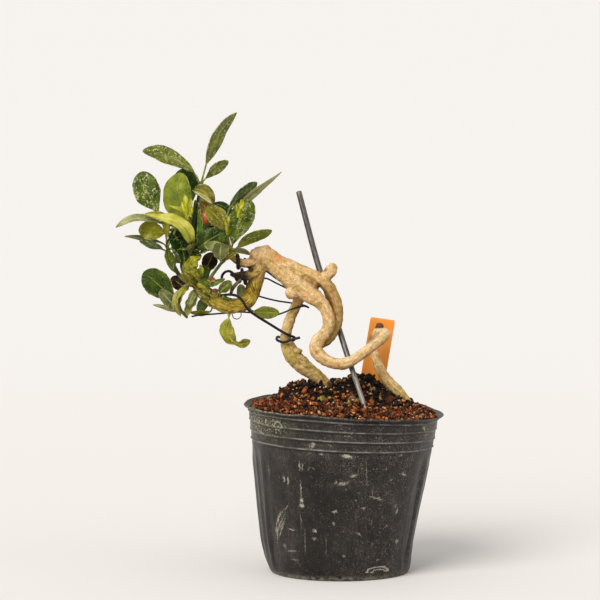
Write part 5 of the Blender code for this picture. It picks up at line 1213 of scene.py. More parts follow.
LEAVES = {
    # top of the crown
    "leaf_apex_tall": ("dark", 11.5, (62, 60), 12, (0.22, 0.50, 0.9, 0.85),
                       [(200.8, 185, 0.5), (204.4, 171, -0.5), (211.5, 149, 1), (222.5, 128.5, 3.5), (237.2, 112.8, 8)]),
    "leaf_apex_small": ("dark", 9.5, (45, 48), 12, (0.22, 0.60, 1.0, 0.55),
                        [(201, 184.6, 0), (205.5, 178.5, -3), (215.5, 169, -5), (228.2, 161.2, -6)]),
    "leaf_apex_left": ("dark", 16.0, (48, 46), 12, (0.16, 0.56, 1.0, 0.62),
                       [(200.2, 185.4, 0), (195.4, 174.6, -2.5), (185, 165.2, -6), (170, 157.2, -10), (156, 152.4, -13.5), (142.8, 151, -16)]),
    "leaf_arch": ("olive", 15.0, (-34, -30), 10, (0.12, 0.50, 0.8, 0.6),
                  [(198.8, 193, 0.8), (194.5, 189.6, -3), (203, 191.6, -6), (213.6, 204.6, -5.6)]),
    "leaf_reddish": ("olive", 11.0, (10, 14), 10, (0.22, 0.55, 0.8, 0.55),
                     [(196.4, 206, 0.4), (197, 202.6, -1.6), (202, 204, -2.4), (210, 211, -2.2)]),
    # left side of the crown
    "leaf_left_oval": ("dark", 27.0, (6, 4), 12, (0.36, 0.56, 1.5, 0.5),
                       [(167.3, 243, -1), (164.6, 230, 1.5), (158.4, 213, 2.5), (147.6, 193, 4), (141.4, 171.8, 6)]),
    "leaf_centre_big": ("light", 29.0, (-6, 4), 10, (0.16, 0.58, 1.05, 0.56),
                        [(191.4, 240, -2), (186, 228, -7), (180.6, 212, -9.5), (177.4, 194, -10.5), (181, 172.6, -11)]),
    "leaf_centre_behind": ("dark", 25.0, (12, 14), 10, (0.2, 0.62, 1.1, 0.5),
                           [(193.2, 224, 0.5), (191.4, 212, 3), (186.6, 192, 4), (182.6, 168.4, 4)]),
    "leaf_far_left": ("mid", 8.5, (58, 54), 12, (0.16, 0.52, 1.0, 0.8),
                      [(172.5, 231.5, -3), (163, 223.4, -7.5), (150, 218.8, -11), (133, 219.4, -14.5), (115.8, 227.4, -18)]),
    "leaf_yellow_arch": ("young", 13.0, (10, 48), 14, (0.1, 0.38, 1.25, 1.25),
                         [(192.4, 247.6, -3), (192, 242.6, -12.6), (186.2, 229.6, -17), (175, 221, -17), (159, 217.6, -16), (142, 214.4, -14.4)]),
    "leaf_yellow_round": ("olive", 19.0, (10, 8), 8, (0.2, 0.56, 0.8, 0.5),
                          [(170.4, 237, -2.5), (164.5, 233, -6.5), (152, 231, -9.5), (138.6, 230, -12)]),
    "leaf_left_thin": ("mid", 5.0, (66, 66), 10, (0.12, 0.50, 1.0, 0.7),
                       [(167.5, 247, -1.5), (161, 242.6, -6.5), (146, 238.4, -8.5), (124.6, 237, -10.5)]),
    "leaf_left_dark": ("dark", 8.5, (52, 52), 10, (0.12, 0.50, 1.0, 0.7),
                       [(169, 252.4, -1.5), (162.6, 249.4, 2), (152, 244.8, 6), (139, 238, 12)]),
    "leaf_left_hanging": ("dark", 9.5, (44, 50), 10, (0.12, 0.52, 1.0, 0.6),
                          [(178.2, 273.6, -3), (173.6, 270.4, -7), (170, 260.4, -8), (167.6, 249, -7.6)]),
    # centre
    "leaf_olive_oval": ("olive", 19.0, (8, 10), 10, (0.24, 0.56, 0.8, 0.5),
                        [(227.3, 236, 1.5), (225.6, 229.4, -4.6), (217.6, 217.6, -8.6), (206.2, 207.4, -9.6)]),
    "leaf_centre_round": ("dark", 22.0, (12, 16), 12, (0.16, 0.58, 0.8, 0.5),
                          [(192, 252, -2), (199, 247.4, -7.5), (210, 239.6, -11), (224.4, 231.6, -13)]),
    "leaf_centre_edge": ("dark", 9.0, (52, 56), 10, (0.12, 0.50, 1.0, 0.7),
                         [(192.2, 247, -1.5), (196.6, 240, 3.2), (198, 222, 6), (194.6, 200, 8)]),
    "leaf_under_shoot": ("dark", 18.0, (30, 36), 12, (0.1, 0.50, 1.0, 0.6),
                         [(193.6, 262, -2.6), (187.4, 257, -6.4), (181, 246, -8), (172.4, 229.8, -8)]),
    "leaf_curly": ("young", 14.0, (16, 26), 16, (0.1, 0.55, 0.8, 0.5),
                   [(195.8, 277, -4), (192.6, 275, -10.6), (190.4, 266.4, -13), (194.4, 256, -14)]),
    "leaf_shade_left": ("dark", 14.0, (26, 30), 8, (0.1, 0.56, 0.8, 0.5),
                        [(189, 282.6, -4.5), (187, 287.4, 0.2), (180, 284, 2.4), (171.4, 277.6, 3.6)]),
    "leaf_shade_centre": ("dark", 15.5, (14, 18), 8, (0.46, 0.55, 0.8, 0.5),
                          [(205, 291, -4.6), (204.4, 281, 2.6), (206.6, 269, 4.4), (213.4, 252.8, 5.4)]),
    # low left
    "leaf_low_oval": ("dark", 26.0, (4, 2), 12, (0.10, 0.60, 1.0, 0.5),
                      [(179, 304.4, -10), (176, 301, -13), (162.6, 288.4, -15), (143.6, 272, -19)]),
    "leaf_low_fold": ("light", 13.0, (10, 8), 8, (0.1, 0.60, 0.9, 0.5),
                      [(182.4, 312.4, -10.2), (178.6, 309, -15), (170, 301.4, -17), (160, 290, -18)]),
    "leaf_low_thin": ("light", 4.5, (58, 60), 8, (0.1, 0.50, 0.8, 0.7),
                      [(182.2, 312, -10), (175.4, 311, -7), (165.4, 308, -6), (153, 304.6, -5)]),
    "leaf_low_droop": ("olive", 9.5, (38, 44), 10, (0.1, 0.48, 0.9, 0.6),
                       [(201.4, 290, -6.5), (197, 294.6, -11), (191, 302.6, -13.4), (187.4, 316, -14)]),
    "leaf_low_arc": ("olive", 7.0, (30, 34), 14, (0.08, 0.45, 0.8, 0.6),
                     [(182, 289.6, -9.4), (178.4, 292.4, -18), (175, 303, -21.6), (181, 316, -22)]),
    "leaf_low_shade": ("dark", 10.5, (16, 20), 8, (0.1, 0.55, 0.9, 0.5),
                       [(207.4, 295, -4), (205.4, 299, 1.5), (202.6, 305, 2.5), (198, 312, 3)]),
    "leaf_low_flat": ("light", 5.5, (52, 54), 8, (0.1, 0.50, 0.8, 0.6),
                      [(213.6, 301, -6), (210.4, 311.4, -4.4), (200, 312.8, -4.4), (190.4, 313.4, -5)]),
    "leaf_hanging_curl": ("young", 14.5, (12, 42), 12, (0.12, 0.34, 0.8, 0.5),
                          [(228.4, 309, -5.5), (228.8, 317, -10), (226.4, 328, -11.4), (231, 338.8, -11), (239.4, 343.6, -10), (250.4, 340.8, -9)]),
    # right side of the crown
    "leaf_inner_bright": ("mid", 12.6, (16, 18), 10, (0.12, 0.50, 0.9, 0.6),
                          [(247.6, 303, 0), (251.6, 310.4, 2.6), (264, 312.2, 2.4), (279.2, 312.8, 2)]),
    "leaf_small_bright": ("mid", 10.4, (10, 12), 10, (0.14, 0.54, 0.8, 0.5),
                          [(222.4, 303, -5.5), (220, 293.4, -10.6), (224.4, 287.4, -12), (231.6, 281.6, -11.6)]),
    "leaf_behind_branch": ("light", 10.0, (18, 20), 8, (0.12, 0.55, 0.9, 0.5),
                           [(249, 301, 1.5), (246.6, 301.5, 8.0), (242, 295, 9.0), (240.4, 284.4, 9.4)]),
    "leaf_right_oval": ("dark", 24.0, (-8, -6), 12, (0.2, 0.60, 1.3, 0.5),
                        [(231.4, 254, -3.4), (232.6, 244, -10), (238.4, 225, -12.6), (251, 200.6, -13.4)]),
    "leaf_right_slant": ("dark", 11.5, (48, 48), 12, (0.16, 0.56, 1.0, 0.6),
                         [(226, 223, 4.2), (229, 210, 8), (239.6, 196.4, 13), (257.4, 183, 20)]),
    "leaf_right_needle": ("mid", 6.0, (58, 62), 22, (0.16, 0.36, 0.9, 0.95),
                          [(226, 224, 4), (234, 211.6, 1), (251, 195.2, -3), (281.2, 171.6, -9)]),
    "leaf_right_shade": ("dark", 9.0, (36, 34), 8, (0.14, 0.50, 0.9, 0.6),
                         [(226.4, 229, 3.4), (228.6, 213.4, 9), (223.6, 206.6, 9.6), (213.4, 203.4, 9)]),
    "leaf_right_low": ("mid", 11.0, (50, 52), 12, (0.12, 0.52, 1.1, 0.65),
                       [(231.8, 253.6, -2.4), (238.6, 246.4, -6.6), (252, 238, -12), (271.6, 230.4, -18)]),
    "leaf_right_small": ("light", 5.0, (52, 54), 8, (0.12, 0.52, 1.0, 0.6),
                         [(229.6, 249.6, -0.8), (234, 249, 5), (242, 251, 7), (250.6, 255, 8)]),
    "leaf_right_blade": ("light", 12.0, (8, 10), 14, (0.14, 0.50, 0.9, 0.65),
                         [(223.8, 259.8, -8.9), (225, 254, -12.8), (217.6, 247.8, -15.8), (203.6, 244.2, -16)]),
    "leaf_right_under": ("light", 16.5, (2, 4), 12, (0.24, 0.84, 1.25, 0.3),
                         [(222.6, 262, -8.7), (220.2, 260, -15), (220.2, 252, -20), (221.4, 243.6, -20)]),
    # behind the crown, out of the elevation's sight
    "leaf_back_high": ("dark", 22.0, (30, 26), 12, (0.16, 0.62, 1.25, 0.5),
                       [(195.8, 208, 0.8), (199.6, 205, 9), (202, 201, 16), (204, 198, 32)]),
    "leaf_back_centre": ("dark", 24.0, (24, 20), 12, (0.16, 0.62, 1.25, 0.5),
                         [(192.3, 234, -0.4), (187, 230, 8), (182, 224, 16), (178, 217, 28)]),
    "leaf_back_right": ("mid", 22.0, (-20, -24), 12, (0.16, 0.62, 1.25, 0.5),
                        [(192.2, 249, -1.4), (201, 247, 8), (208, 244, 16), (214, 241, 27)]),
    "leaf_back_left": ("mid", 20.0, (26, 24), 12, (0.16, 0.62, 1.25, 0.5),
                       [(174, 266, -2), (176, 262, 6), (179, 257, 14), (182, 247, 29)]),
    "leaf_back_low": ("dark", 21.0, (-20, -16), 12, (0.16, 0.62, 1.25, 0.5),
                      [(194.4, 268, -2.6), (198, 272, 7), (204, 275, 15), (208, 278, 25)]),
}
VIEW = unit(np.array((0.0, 1.0, -0.12)))


def closeness(mesh, co, normals, reach_mm=9.0):
    """How closed in each point is by nearby parts of the same mesh, 0..1."""
    tree = BVHTree.FromPolygons([tuple(c) for c in co], [tuple(p.vertices) for p in mesh.polygons])
    rng = np.random.default_rng(5)
    local = unit(rng.normal(size=(9, 3)))
    out = np.zeros(len(co))
    far = reach_mm * MM
    for k in range(len(co)):
        n = normals[k]
        start = Vector(co[k] + n * 0.35 * MM)
        total = 0.0
        for d in local:
            ray = d + n * 1.05
            hit = tree.ray_cast(start, Vector(ray), far)
            if hit[0] is not None:
                total += 1.0 - hit[3] / far
        out[k] = total / len(local)
    return np.clip(out * 1.5, 0, 1)


def make_tree():
    """All limbs grown into one skin, then given bark relief."""
    rings = Pieces()
    samples = []
    names = list(LIMBS)
    for key, path in LIMBS.items():
        rows = rows_from(path)
        verts, faces, _, _ = tube(rows, 20, (len(rows) - 1) * 6, tip=0.8)
        rings.add(verts, faces)
    # small swellings where leaf stalks leave the wood
    for spec in LEAVES.values():
        line = smooth([at(*row) for row in spec[5]], 60)
        far = np.concatenate([[0], np.cumsum(np.linalg.norm(np.diff(line, axis=0), axis=1))])
        r0 = WOOD[np.argmin(np.linalg.norm(WOOD[:, :3] - line[0], axis=1)), 3]
        end = min(far[-1] * 0.2, r0 + 1.3 * MM)
        steps = [np.array([np.interp(d, far, line[:, k]) for k in range(3)]) for d in np.linspace(0, end, 4)]
        rows = [(*p, r * MM) for p, r in zip(steps, (0.95, 0.9, 0.78, 0.55))]
        verts, faces, _, _ = tube(rows, 12, 8)
        rings.add(verts, faces)
    obj = rings.object("tree_rings", [])
    mod = obj.modifiers.new("skin", "REMESH")
    mod.mode = "VOXEL"
    mod.voxel_size = 0.40 * MM
    graph = bpy.context.evaluated_depsgraph_get()
    mesh = bpy.data.meshes.new_from_object(obj.evaluated_get(graph))
    bpy.data.objects.remove(obj, do_unlink=True)

    table = []
    for number, key in enumerate(names):
        rows = rows_from(LIMBS[key])
        line = smooth(rows, (len(rows) - 1) * 12)
        far = np.concatenate([[0], np.cumsum(np.linalg.norm(np.diff(line[:, :3], axis=0), axis=1))])
        for k in range(len(line)):
            tangent = unit(line[min(k + 1, len(line) - 1), :3] - line[max(k - 1, 0), :3])
            table.append((*line[k], number, far[k] / MM, far[-1] / MM, *tangent))
    table = np.array(table)
    tree = KDTree(len(table))
    for k, row in enumerate(table):
        tree.insert(row[:3], k)
    tree.balance()
    count = len(mesh.vertices)
    co = np.empty(count * 3)
    mesh.vertices.foreach_get("co", co)
    co = co.reshape(-1, 3)
    # a light smoothing of the voxel steps
    pairs = np.empty(len(mesh.edges) * 2, np.int64)
    mesh.edges.foreach_get("vertices", pairs)
    pairs = pairs.reshape(-1, 2)
    degree = np.bincount(pairs.ravel(), minlength=count)[:, None]
    for weight in (0.5, -0.52, 0.5, -0.52, 0.4):
        total = np.zeros_like(co)
        np.add.at(total, pairs[:, 0], co[pairs[:, 1]])
        np.add.at(total, pairs[:, 1], co[pairs[:, 0]])
        co = co + weight * (total / degree - co)
    mesh.vertices.foreach_set("co", co.ravel())
    mesh.update()
    normals = np.empty(count * 3)
    mesh.vertices.foreach_get("normal", normals)
    normals = normals.reshape(-1, 3)
    pick = np.empty(count, int)
    for k in range(count):
        best, least = 0, 9.0
        for _, index, distance in tree.find_n(co[k], 8):
            gap = distance - table[index, 3]
            if gap < least:
                best, least = index, gap
        pick[k] = best
    near = table[pick]
    limb = near[:, 4].astype(int)
    off = co - near[:, :3]
    tangent = near[:, 7:10]
    side = unit(np.cross(tangent, (0.2, 0.1, 0.97)))
    up = np.cross(tangent, side)
    angle = np.arctan2((off * up).sum(1), (off * side).sum(1))
    along = near[:, 5] + (off * tangent).sum(1) / MM
    radius = near[:, 3] / MM

    uv = onto(co)
    is_twig = np.isin(limb, [names.index(t) for t in TWIGS if t in names])
    is_low = limb == names.index("lower_branch")
    is_leg = (limb == names.index("left_leg")) | (limb == names.index("leg_burl"))
    is_wired = limb == names.index("wired_stub")
    # relief: broad lumps, corky roughness, lengthwise ridges on the low branch
    lumps = wave3(co, 0.16, 1, 2)
    cork = wave3(co, 0.55, 2, 3)
    ridges = np.array([noise.noise(Vector((a * 0.14, r * t * 0.62 * 0.9, 0.0)))
                       for a, r, t in zip(along, radius, angle)])
    amount = np.clip(radius / 3.2, 0.12, 1.25)
    facets = wave3(co, 0.26, 6, 2)
    push = 0.24 * lumps * amount + 0.17 * cork * amount
    push += 0.22 * (0.4 - np.abs(facets)) * amount                  # soft edges between flats
    push += np.where(is_low, 0.34, 0.05) * ridges * np.clip(radius / 3.0, 0, 1)
    push += np.where(is_leg, 0.16, 0.0) * wave3(co, 0.35, 3, 2)
    # shallow growth rings across the bends
    push += 0.05 * np.sin(along * 1.9 + 2.2 * lumps) * amount * (~is_twig)
    # the crease under the upper fork's root and a pore by the loop
    for u, v, wide, deep in ((303, 277.5, 2.2, 0.5), (308, 279.6, 2.4, 0.6), (313.5, 282.0, 2.4, 0.6),
                             (318.5, 286.5, 2.6, 0.9), (324.4, 269.6, 1.7, 1.0), (316.8, 352.4, 1.6, 0.8),
                             (313.4, 347.8, 1.2, 0.5), (251, 257.4, 2.2, 0.5), (318.6, 356.2, 1.0, 0.4)):
        far = np.hypot(uv[:, 0] - u, uv[:, 1] - v)
        facing = normals[:, 1] < 0.1
        push -= deep * np.exp(-(far / wide) ** 2) * facing
    co = co + normals * (push * MM)[:, None]
    mesh.vertices.foreach_set("co", co.ravel())
    mesh.update()

    green = np.where(is_twig, 1.0, 0.0)
    # twigs start the colour of the branch that carries them
    green = np.where(is_twig, fade(near[:, 5], 3.0, 12.0), 0.0)
    brown = np.where(is_low, fade(near[:, 5], 4.0, 13.0), 0.0)
    brown = np.maximum(brown, np.where(is_wired, 0.7, 0.0))
    brown = np.maximum(brown, np.where(is_twig, 1 - fade(near[:, 5], 3.0, 12.0), 0.0))
    end = fade(near[:, 6] - near[:, 5], 14.0, 2.0)
    brown = np.maximum(brown, np.where(limb == names.index("left_stub"), 0.75 * fade(near[:, 5], 6, 12), 0.0))
    green = np.maximum(green, np.where(limb == names.index("left_stub"), 0.25 * end, 0.0))
    moss = np.where(is_leg, 0.9 * fade(uv[:, 1], 336, 346) * fade(uv[:, 1], 384, 366), 0.0)
    moss = np.maximum(moss, 0.35 * np.where(is_leg, fade(uv[:, 1], 384, 366), 0.0))
    moss = np.maximum(moss, 0.8 * fade(uv[:, 1], 383, 391) * (uv[:, 0] > 386))
    moss = np.maximum(moss, 0.5 * fade(uv[:, 1], 318, 332) * (limb == names.index("upper_fork")))
    moss = np.clip(moss + 0.25 * np.clip(cork, 0, 1) * (moss > 0.05), 0, 1)
    # shade gathers in hollows, beneath limbs, between them and at old cuts
    closed = closeness(mesh, co, normals)
    shade = 0.45 * fade(-cork - 0.4 * lumps, 0.10, 0.8) + 0.85 * closed
    shade = shade + 0.30 * fade(-normals[:, 2], 0.15, 0.95)
    # painted shade along the upper fork past its first 18 mm
    shade = shade + np.where(limb == names.index("upper_fork"), 0.30 * fade(near[:, 5], 18, 34), 0.0)
    for u, v, wide, weight in ((312, 281.6, 4.6, 0.8), (318.8, 287, 4.0, 1.0), (324.4, 269.8, 2.4, 0.9),
                               (316.8, 352.4, 2.0, 0.9), (296, 305, 5.0, 0.45), (250.5, 257.6, 3.0, 0.7),
                               (300.5, 352, 3.0, 0.4), (287, 338.6, 3.2, 0.4), (336, 340, 5.0, 0.4),
                               (369.6, 338, 4.6, 0.95), (303, 277.6, 3.0, 0.6), (307.6, 279.4, 3.0, 0.6)):
        far = np.hypot(uv[:, 0] - u, uv[:, 1] - v)
        shade = np.maximum(shade, weight * np.exp(-(far / wide) ** 2))
    # painted shade on faces turned away from the key light
    slope = normals @ unit(np.array((0.62, 0.10, -0.62)))
    shade = shade + np.where(is_twig, 0.15, 0.50) * fade(slope, 0.25, 0.98)
    # painted highlight: faces turned towards the key light are paler, and a pale spot sits on the hook's top
    crest = normals @ unit(np.array((-0.50, -0.40, 0.74)))
    pale_spot_and_painted_highlight = np.where(is_low | is_twig, 0.0, 0.60) * fade(crest, 0.55, 0.98)
    pale_spot_and_painted_highlight = np.maximum(pale_spot_and_painted_highlight, 0.75 * np.exp(-(np.hypot(uv[:, 0] - 387, uv[:, 1] - 331) / 5.0) ** 2))
    warm = np.zeros(count)
    for u, v, wide, weight in ((279.5, 257.5, 4.5, 0.9), (273, 252.5, 2.6, 0.6), (252.5, 251.5, 3.0, 0.5),
                               (265, 246.5, 3.0, 0.5), (318, 270, 4.0, 0.25), (309, 352, 4.0, 0.35),
                               (296, 302, 4.0, 0.4), (331, 292, 3.0, 0.3)):
        far = np.hypot((uv[:, 0] - u) / 1.4, uv[:, 1] - v)
        warm = np.maximum(warm, weight * np.exp(-(far / wide) ** 2) * (normals[:, 1] < 0.5))
    warm = np.maximum(warm, 0.6 * fade(wave3(co, 0.06, 9, 2), 0.45, 0.9) * (normals[:, 1] > 0.3))
    gold = np.where(is_low, fade(uv[:, 1], 291, 301) * (0.45 + 0.55 * fade(-normals[:, 1], -0.2, 0.8)), 0.0)
    brown = np.maximum(brown, np.where(limb == names.index("upper_fork"), 0.38 * fade(near[:, 5], 14, 30), 0.0))
    skin = np.where(is_low, fade(uv[:, 0], 232, 206), 0.0)
    skin = np.maximum(skin, np.where(is_low, 0.35 * fade(uv[:, 0], 250, 262), 0.0))
    purple = np.where(is_wired, fade(near[:, 5], 3.0, 7.0), 0.0)
    # dark purple-brown at the old cut by (214, 288.4); the spot at (250, 269.4) is painted shade under the stubs' joint
    for u, v, wide in ((214, 288.4, 3.6), (250, 269.4, 3.0)):
        far = np.hypot((uv[:, 0] - u) / 1.3, uv[:, 1] - v)
        purple = np.maximum(purple, 0.95 * np.exp(-(far / wide) ** 4) * (normals[:, 1] < 0.5))
    purple = np.maximum(purple, np.where(limb == names.index("cut_stub"), fade(uv[:, 1], 329.2, 327.6), 0.0))
    cut_end = (limb == names.index("cut_stub")) & (near[:, 6] - along < 0.5)
    grown = np.stack([along + 40 * limb, angle * radius, np.zeros(count)], 1).astype(np.float32)
    tint = np.stack([moss, green, brown], 1).astype(np.float32)
    for key, data in (("grown", grown), ("tint", tint)):
        mesh.attributes.new(key, "FLOAT_VECTOR", "POINT").data.foreach_set("vector", data.ravel())
    cover = np.clip(np.stack([shade, skin, purple], 1), 0, 1).astype(np.float32)
    mesh.attributes.new("cover", "FLOAT_VECTOR", "POINT").data.foreach_set("vector", cover.ravel())
    mark = np.clip(np.stack([warm, pale_spot_and_painted_highlight, gold], 1), 0, 1).astype(np.float32)
    mesh.attributes.new("mark", "FLOAT_VECTOR", "POINT").data.foreach_set("vector", mark.ravel())
    mesh.materials.clear()
    mesh.materials.append(bark_look())
    mesh.materials.append(cut_look())
    flags = [0] * len(mesh.polygons)
    for poly in mesh.polygons:
        if all(cut_end[i] for i in poly.vertices):
            flags[poly.index] = 1
    mesh.polygons.foreach_set("material_index", flags)
    mesh.shade_smooth()
    mesh.name = "bonsai_wood"
    made = bpy.data.objects.new("bonsai_wood", mesh)
    bpy.context.scene.collection.objects.link(made)
    return made


# ---------------------------------------------------------------- leaves
def outline(t, petiole, widest, foot, tip):
    u = np.clip((t - petiole) / (1 - petiole), 0, 1)
    near = np.sin(math.pi / 2 * np.clip(u / widest, 0, 1)) ** foot
    far = np.maximum(0.0, 1 - np.clip((u - widest) / (1 - widest), 0, 1) ** 2) ** tip
    return np.where(u < widest, near, far)


def clear_start(line, lengths):
    for p, far in zip(line, lengths):
        gap = np.linalg.norm(WOOD[:, :3] - p, axis=1) - WOOD[:, 3]
        if gap.min() > 0.9 * MM:
            return far
    return 0.0


# where a blade is pinched: (place along it, reach, share)
PINCH = {"leaf_hanging_curl": (0.70, 0.10, 0.66), "leaf_curly": (0.55, 0.09, 0.35),
         "leaf_right_under": (0.30, 0.12, 0.3)}


def leaf_parts(spec, seed, across=13, along=36, axis_points=None, width=None, pinch=None,
               frill=0.0, view=VIEW):
    """A blade's sheet and its stalk and midrib: vertices, faces and point attributes."""
    colour, seen, rolls, fold, shape, axis = spec
    rng = np.random.default_rng(seed)
    petiole = shape[0]
    points = [at(*row) for row in axis] if axis_points is None else axis_points
    line = smooth(points, 160)
    lengths = np.concatenate([[0], np.cumsum(np.linalg.norm(np.diff(line, axis=0), axis=1))])
    total = lengths[-1]
    first = clear_start(line, lengths) if axis_points is None else 0.0
    tilt = math.radians(fold)
    if width is None:
        width = seen * PX / math.cos(math.radians(sum(rolls) / 2)) / math.cos(tilt)

    def place(want):
        centre = np.stack([np.interp(want, lengths, line[:, k]) for k in range(3)], 1)
        ahead = np.stack([np.interp(np.minimum(want + total / 60, total), lengths, line[:, k]) for k in range(3)], 1)
        behind = np.stack([np.interp(np.maximum(want - total / 60, 0), lengths, line[:, k]) for k in range(3)], 1)
        tangent = unit(ahead - behind)
        flat = unit(np.cross(tangent, view))
        toward = unit(np.cross(flat, tangent))
        toward = np.where((toward @ view)[:, None] > 0, -toward, toward)
        t = np.clip((want - first) / (total - first), 0, 1)
        r = np.radians(rolls[0] + (rolls[1] - rolls[0]) * t)[:, None]
        return (centre, tangent, flat * np.cos(r) + toward * np.sin(r),
                toward * np.cos(r) - flat * np.sin(r))

    t = petiole + (1 - petiole) * (0.5 - 0.5 * np.cos(np.pi * np.linspace(0.0, 1.0, along)))
    centre, tangent, wide, face = place(first + t * (total - first))
    s = np.sin(np.linspace(-1, 1, across) * math.pi / 2 * 0.92) / math.sin(math.pi / 2 * 0.92)
    half = np.maximum(0.30, width / 2 * outline(t, *shape)) * MM
    # a slightly wavy, finely scalloped margin
    edge = 1 + 0.018 * np.sin(t * 26 + rng.uniform(0, 6)) + 0.014 * np.sin(t * 61 + rng.uniform(0, 6))
    half = half * edge
    if pinch:
        half = half * (1 - pinch[2] * np.exp(-((t - pinch[0]) / pinch[1]) ** 2))
    S, T = np.meshgrid(s, t)
    H = half[:, None]
    body = outline(t, *shape)[:, None]
    x = S * H * math.cos(tilt)
    lift = (np.sqrt(S ** 2 + 0.006) - 0.077) * H * math.sin(tilt)
    wave, twist = rng.uniform(0.5, 1.0), rng.uniform(0, 6.28)
    left, right = rng.uniform(0.75, 1.25, 2)
    ripple = np.where(S < 0, np.sin(T * 9 * wave + twist) * left, np.sin(T * 10.4 * wave + twist + 1.7) * right)
    lift = lift + 0.085 * ripple * S ** 2 * H * body
    lift = lift - rng.uniform(0.0, 0.16) * np.abs(S) ** 3 * H        # margins turn back a little
    lift = lift + frill * MM * np.sin(T * 21 + 1.6 * np.sign(S) + twist) * S ** 2 * body
    # the blade swells between its side veins and dips along its midrib
    run = T * 13.0 - np.abs(S) * 2.3
    swell = np.abs(np.sin(np.pi * run)) ** 0.7
    lift = lift + 0.11 * MM * (swell - 0.6) * np.clip(1 - np.abs(S) ** 3, 0, 1) * np.clip(np.abs(S) * 3, 0, 1) * body
    lift = lift - 0.24 * MM * np.exp(-(S * H / (0.55 * MM)) ** 2) * body
    # loose bends of the whole blade
    sway = 0.35 * MM * np.sin(T * rng.uniform(4, 7) + rng.uniform(0, 6))
    verts = (centre[:, None, :] + wide[:, None, :] * x[:, :, None]
             + face[:, None, :] * (lift + sway)[:, :, None]).reshape(-1, 3)
    faces = grid_faces(along, across)
    a, b, c = (verts[i] for i in faces[len(faces) // 2][:3])
    if np.dot(np.cross(b - a, c - b), face[along // 2]) < 0:
        faces = [f[::-1] for f in faces]
    own = float(rng.uniform(0, 40))
    mm = np.stack([(S * H / MM).ravel(), (T * (total - first) / MM).ravel(), np.full(S.size, own)], 1)
    spot = np.stack([S.ravel(), ((T - petiole) / (1 - petiole)).ravel(),
                     np.broadcast_to(np.maximum(H / MM, 0.3), S.shape).ravel()], 1)
    # stalk and midrib as one tapering rod on the blade's underside
    stop = first + (petiole + (1 - petiole) * 0.90) * (total - first)
    reach_to = np.concatenate([np.linspace(0, first + petiole * (total - first), 8)[:-1],
                               np.linspace(first + petiole * (total - first), stop, 16)])
    centre, _, _, face = place(reach_to)
    k = np.clip((reach_to - first) / max(1e-9, total - first), 0, 1)
    thick = np.interp(k, (0, petiole, petiole + 0.15, 0.9), (0.52, 0.47, 0.36, 0.12))
    thick *= 0.75 + 0.25 * min(1.0, width / 12.0)
    below = np.interp(k, (0, petiole * 0.8, petiole + 0.08, 1), (0, 0.0, 0.22, 0.10))
    swayed = 0.0
    rod = [(*(p - f * (b + swayed) * MM), r * MM) for p, f, b, r in zip(centre, face, below, thick)]
    rod_verts, rod_faces, _, _ = tube(rod, 8, 34, tip=0.6)
    return (verts, faces, mm, spot), (rod_verts, rod_faces, own)


LEAF_MATS = {}
GLOSS = {"crisp": 0.42, "dull": 0.45, "vivid": 0.33, "lime": 0.42, "fresh": 0.38, "sage": 0.5, "straw": 0.5, "silver": 0.5, "forest": 0.32, "dark": 0.33, "deep": 0.30, "mid": 0.38, "light": 0.50, "grey": 0.52, "olive": 0.42, "young": 0.42,
         "arch": 0.42, "curl": 0.38, "purple": 0.42, "rust": 0.48}
# the tone of each leaf's shown face and how marked it is; others go by their colour
TONE_OF = {
    "leaf_apex_tall": ("fresh", 0.85), "leaf_apex_small": ("mid", 0.95), "leaf_apex_left": ("mid", 1.0),
    "leaf_arch": ("olive", 0.35), "leaf_reddish": ("rust", 0.3), "leaf_left_oval": ("dark", 0.85),
    "leaf_centre_big": ("light", 0.06), "leaf_centre_behind": ("deep", 0.5), "leaf_far_left": ("silver", 0.2),
    "leaf_yellow_arch": ("arch", 0.0), "leaf_yellow_round": ("lime", 0.6), "leaf_left_thin": ("sage", 0.2),
    "leaf_left_dark": ("deep", 0.2), "leaf_left_hanging": ("dark", 0.5), "leaf_olive_oval": ("olive", 0.7),
    "leaf_centre_round": ("forest", 0.3), "leaf_centre_edge": ("deep", 0.2), "leaf_under_shoot": ("deep", 0.2),
    "leaf_curly": ("crisp", 0.0), "leaf_shade_left": ("purple", 0.15), "leaf_shade_centre": ("purple", 0.0),
    "leaf_low_oval": ("dark", 0.2), "leaf_low_fold": ("grey", 0.2), "leaf_low_thin": ("silver", 0.1),
    "leaf_low_arc": ("dull", 0.0), "leaf_right_blade": ("sage", 0.0),
    "leaf_low_droop": ("dull", 0.0), "leaf_low_shade": ("deep", 0.15), "leaf_low_flat": ("curl", 0.0),
    "leaf_hanging_curl": ("curl", 0.7), "leaf_inner_bright": ("mid", 0.15), "leaf_small_bright": ("mid", 0.35),
    "leaf_behind_branch": ("grey", 0.15), "leaf_right_oval": ("dark", 0.6), "leaf_right_slant": ("dark", 0.7),
    "leaf_right_needle": ("silver", 0.0), "leaf_right_shade": ("deep", 0.3), "leaf_right_low": ("mid", 0.8),
    "leaf_right_small": ("silver", 0.0), "leaf_right_under": ("sage", 0.0), "leaf_back_high": ("dark", 0.8),
    "leaf_back_centre": ("deep", 0.7), "leaf_back_right": ("mid", 0.6), "leaf_back_left": ("dark", 0.7),
    "leaf_back_low": ("dark", 0.5),
}


def leaf_material(tone, specks):
    key = (tone, round(specks, 2))
    if key not in LEAF_MATS:
        LEAF_MATS[key] = leaf_look("leaf_%s_%d" % (tone, round(100 * specks)), LEAF_TONES[tone], specks, GLOSS[tone])
    return LEAF_MATS[key]


UNDER = leaf_look("leaf_underside", ((0.095, 0.110, 0.020), (0.175, 0.190, 0.045), (0.285, 0.290, 0.095)),
                  0.18, 0.58, under=True)
STALK = stalk_look()


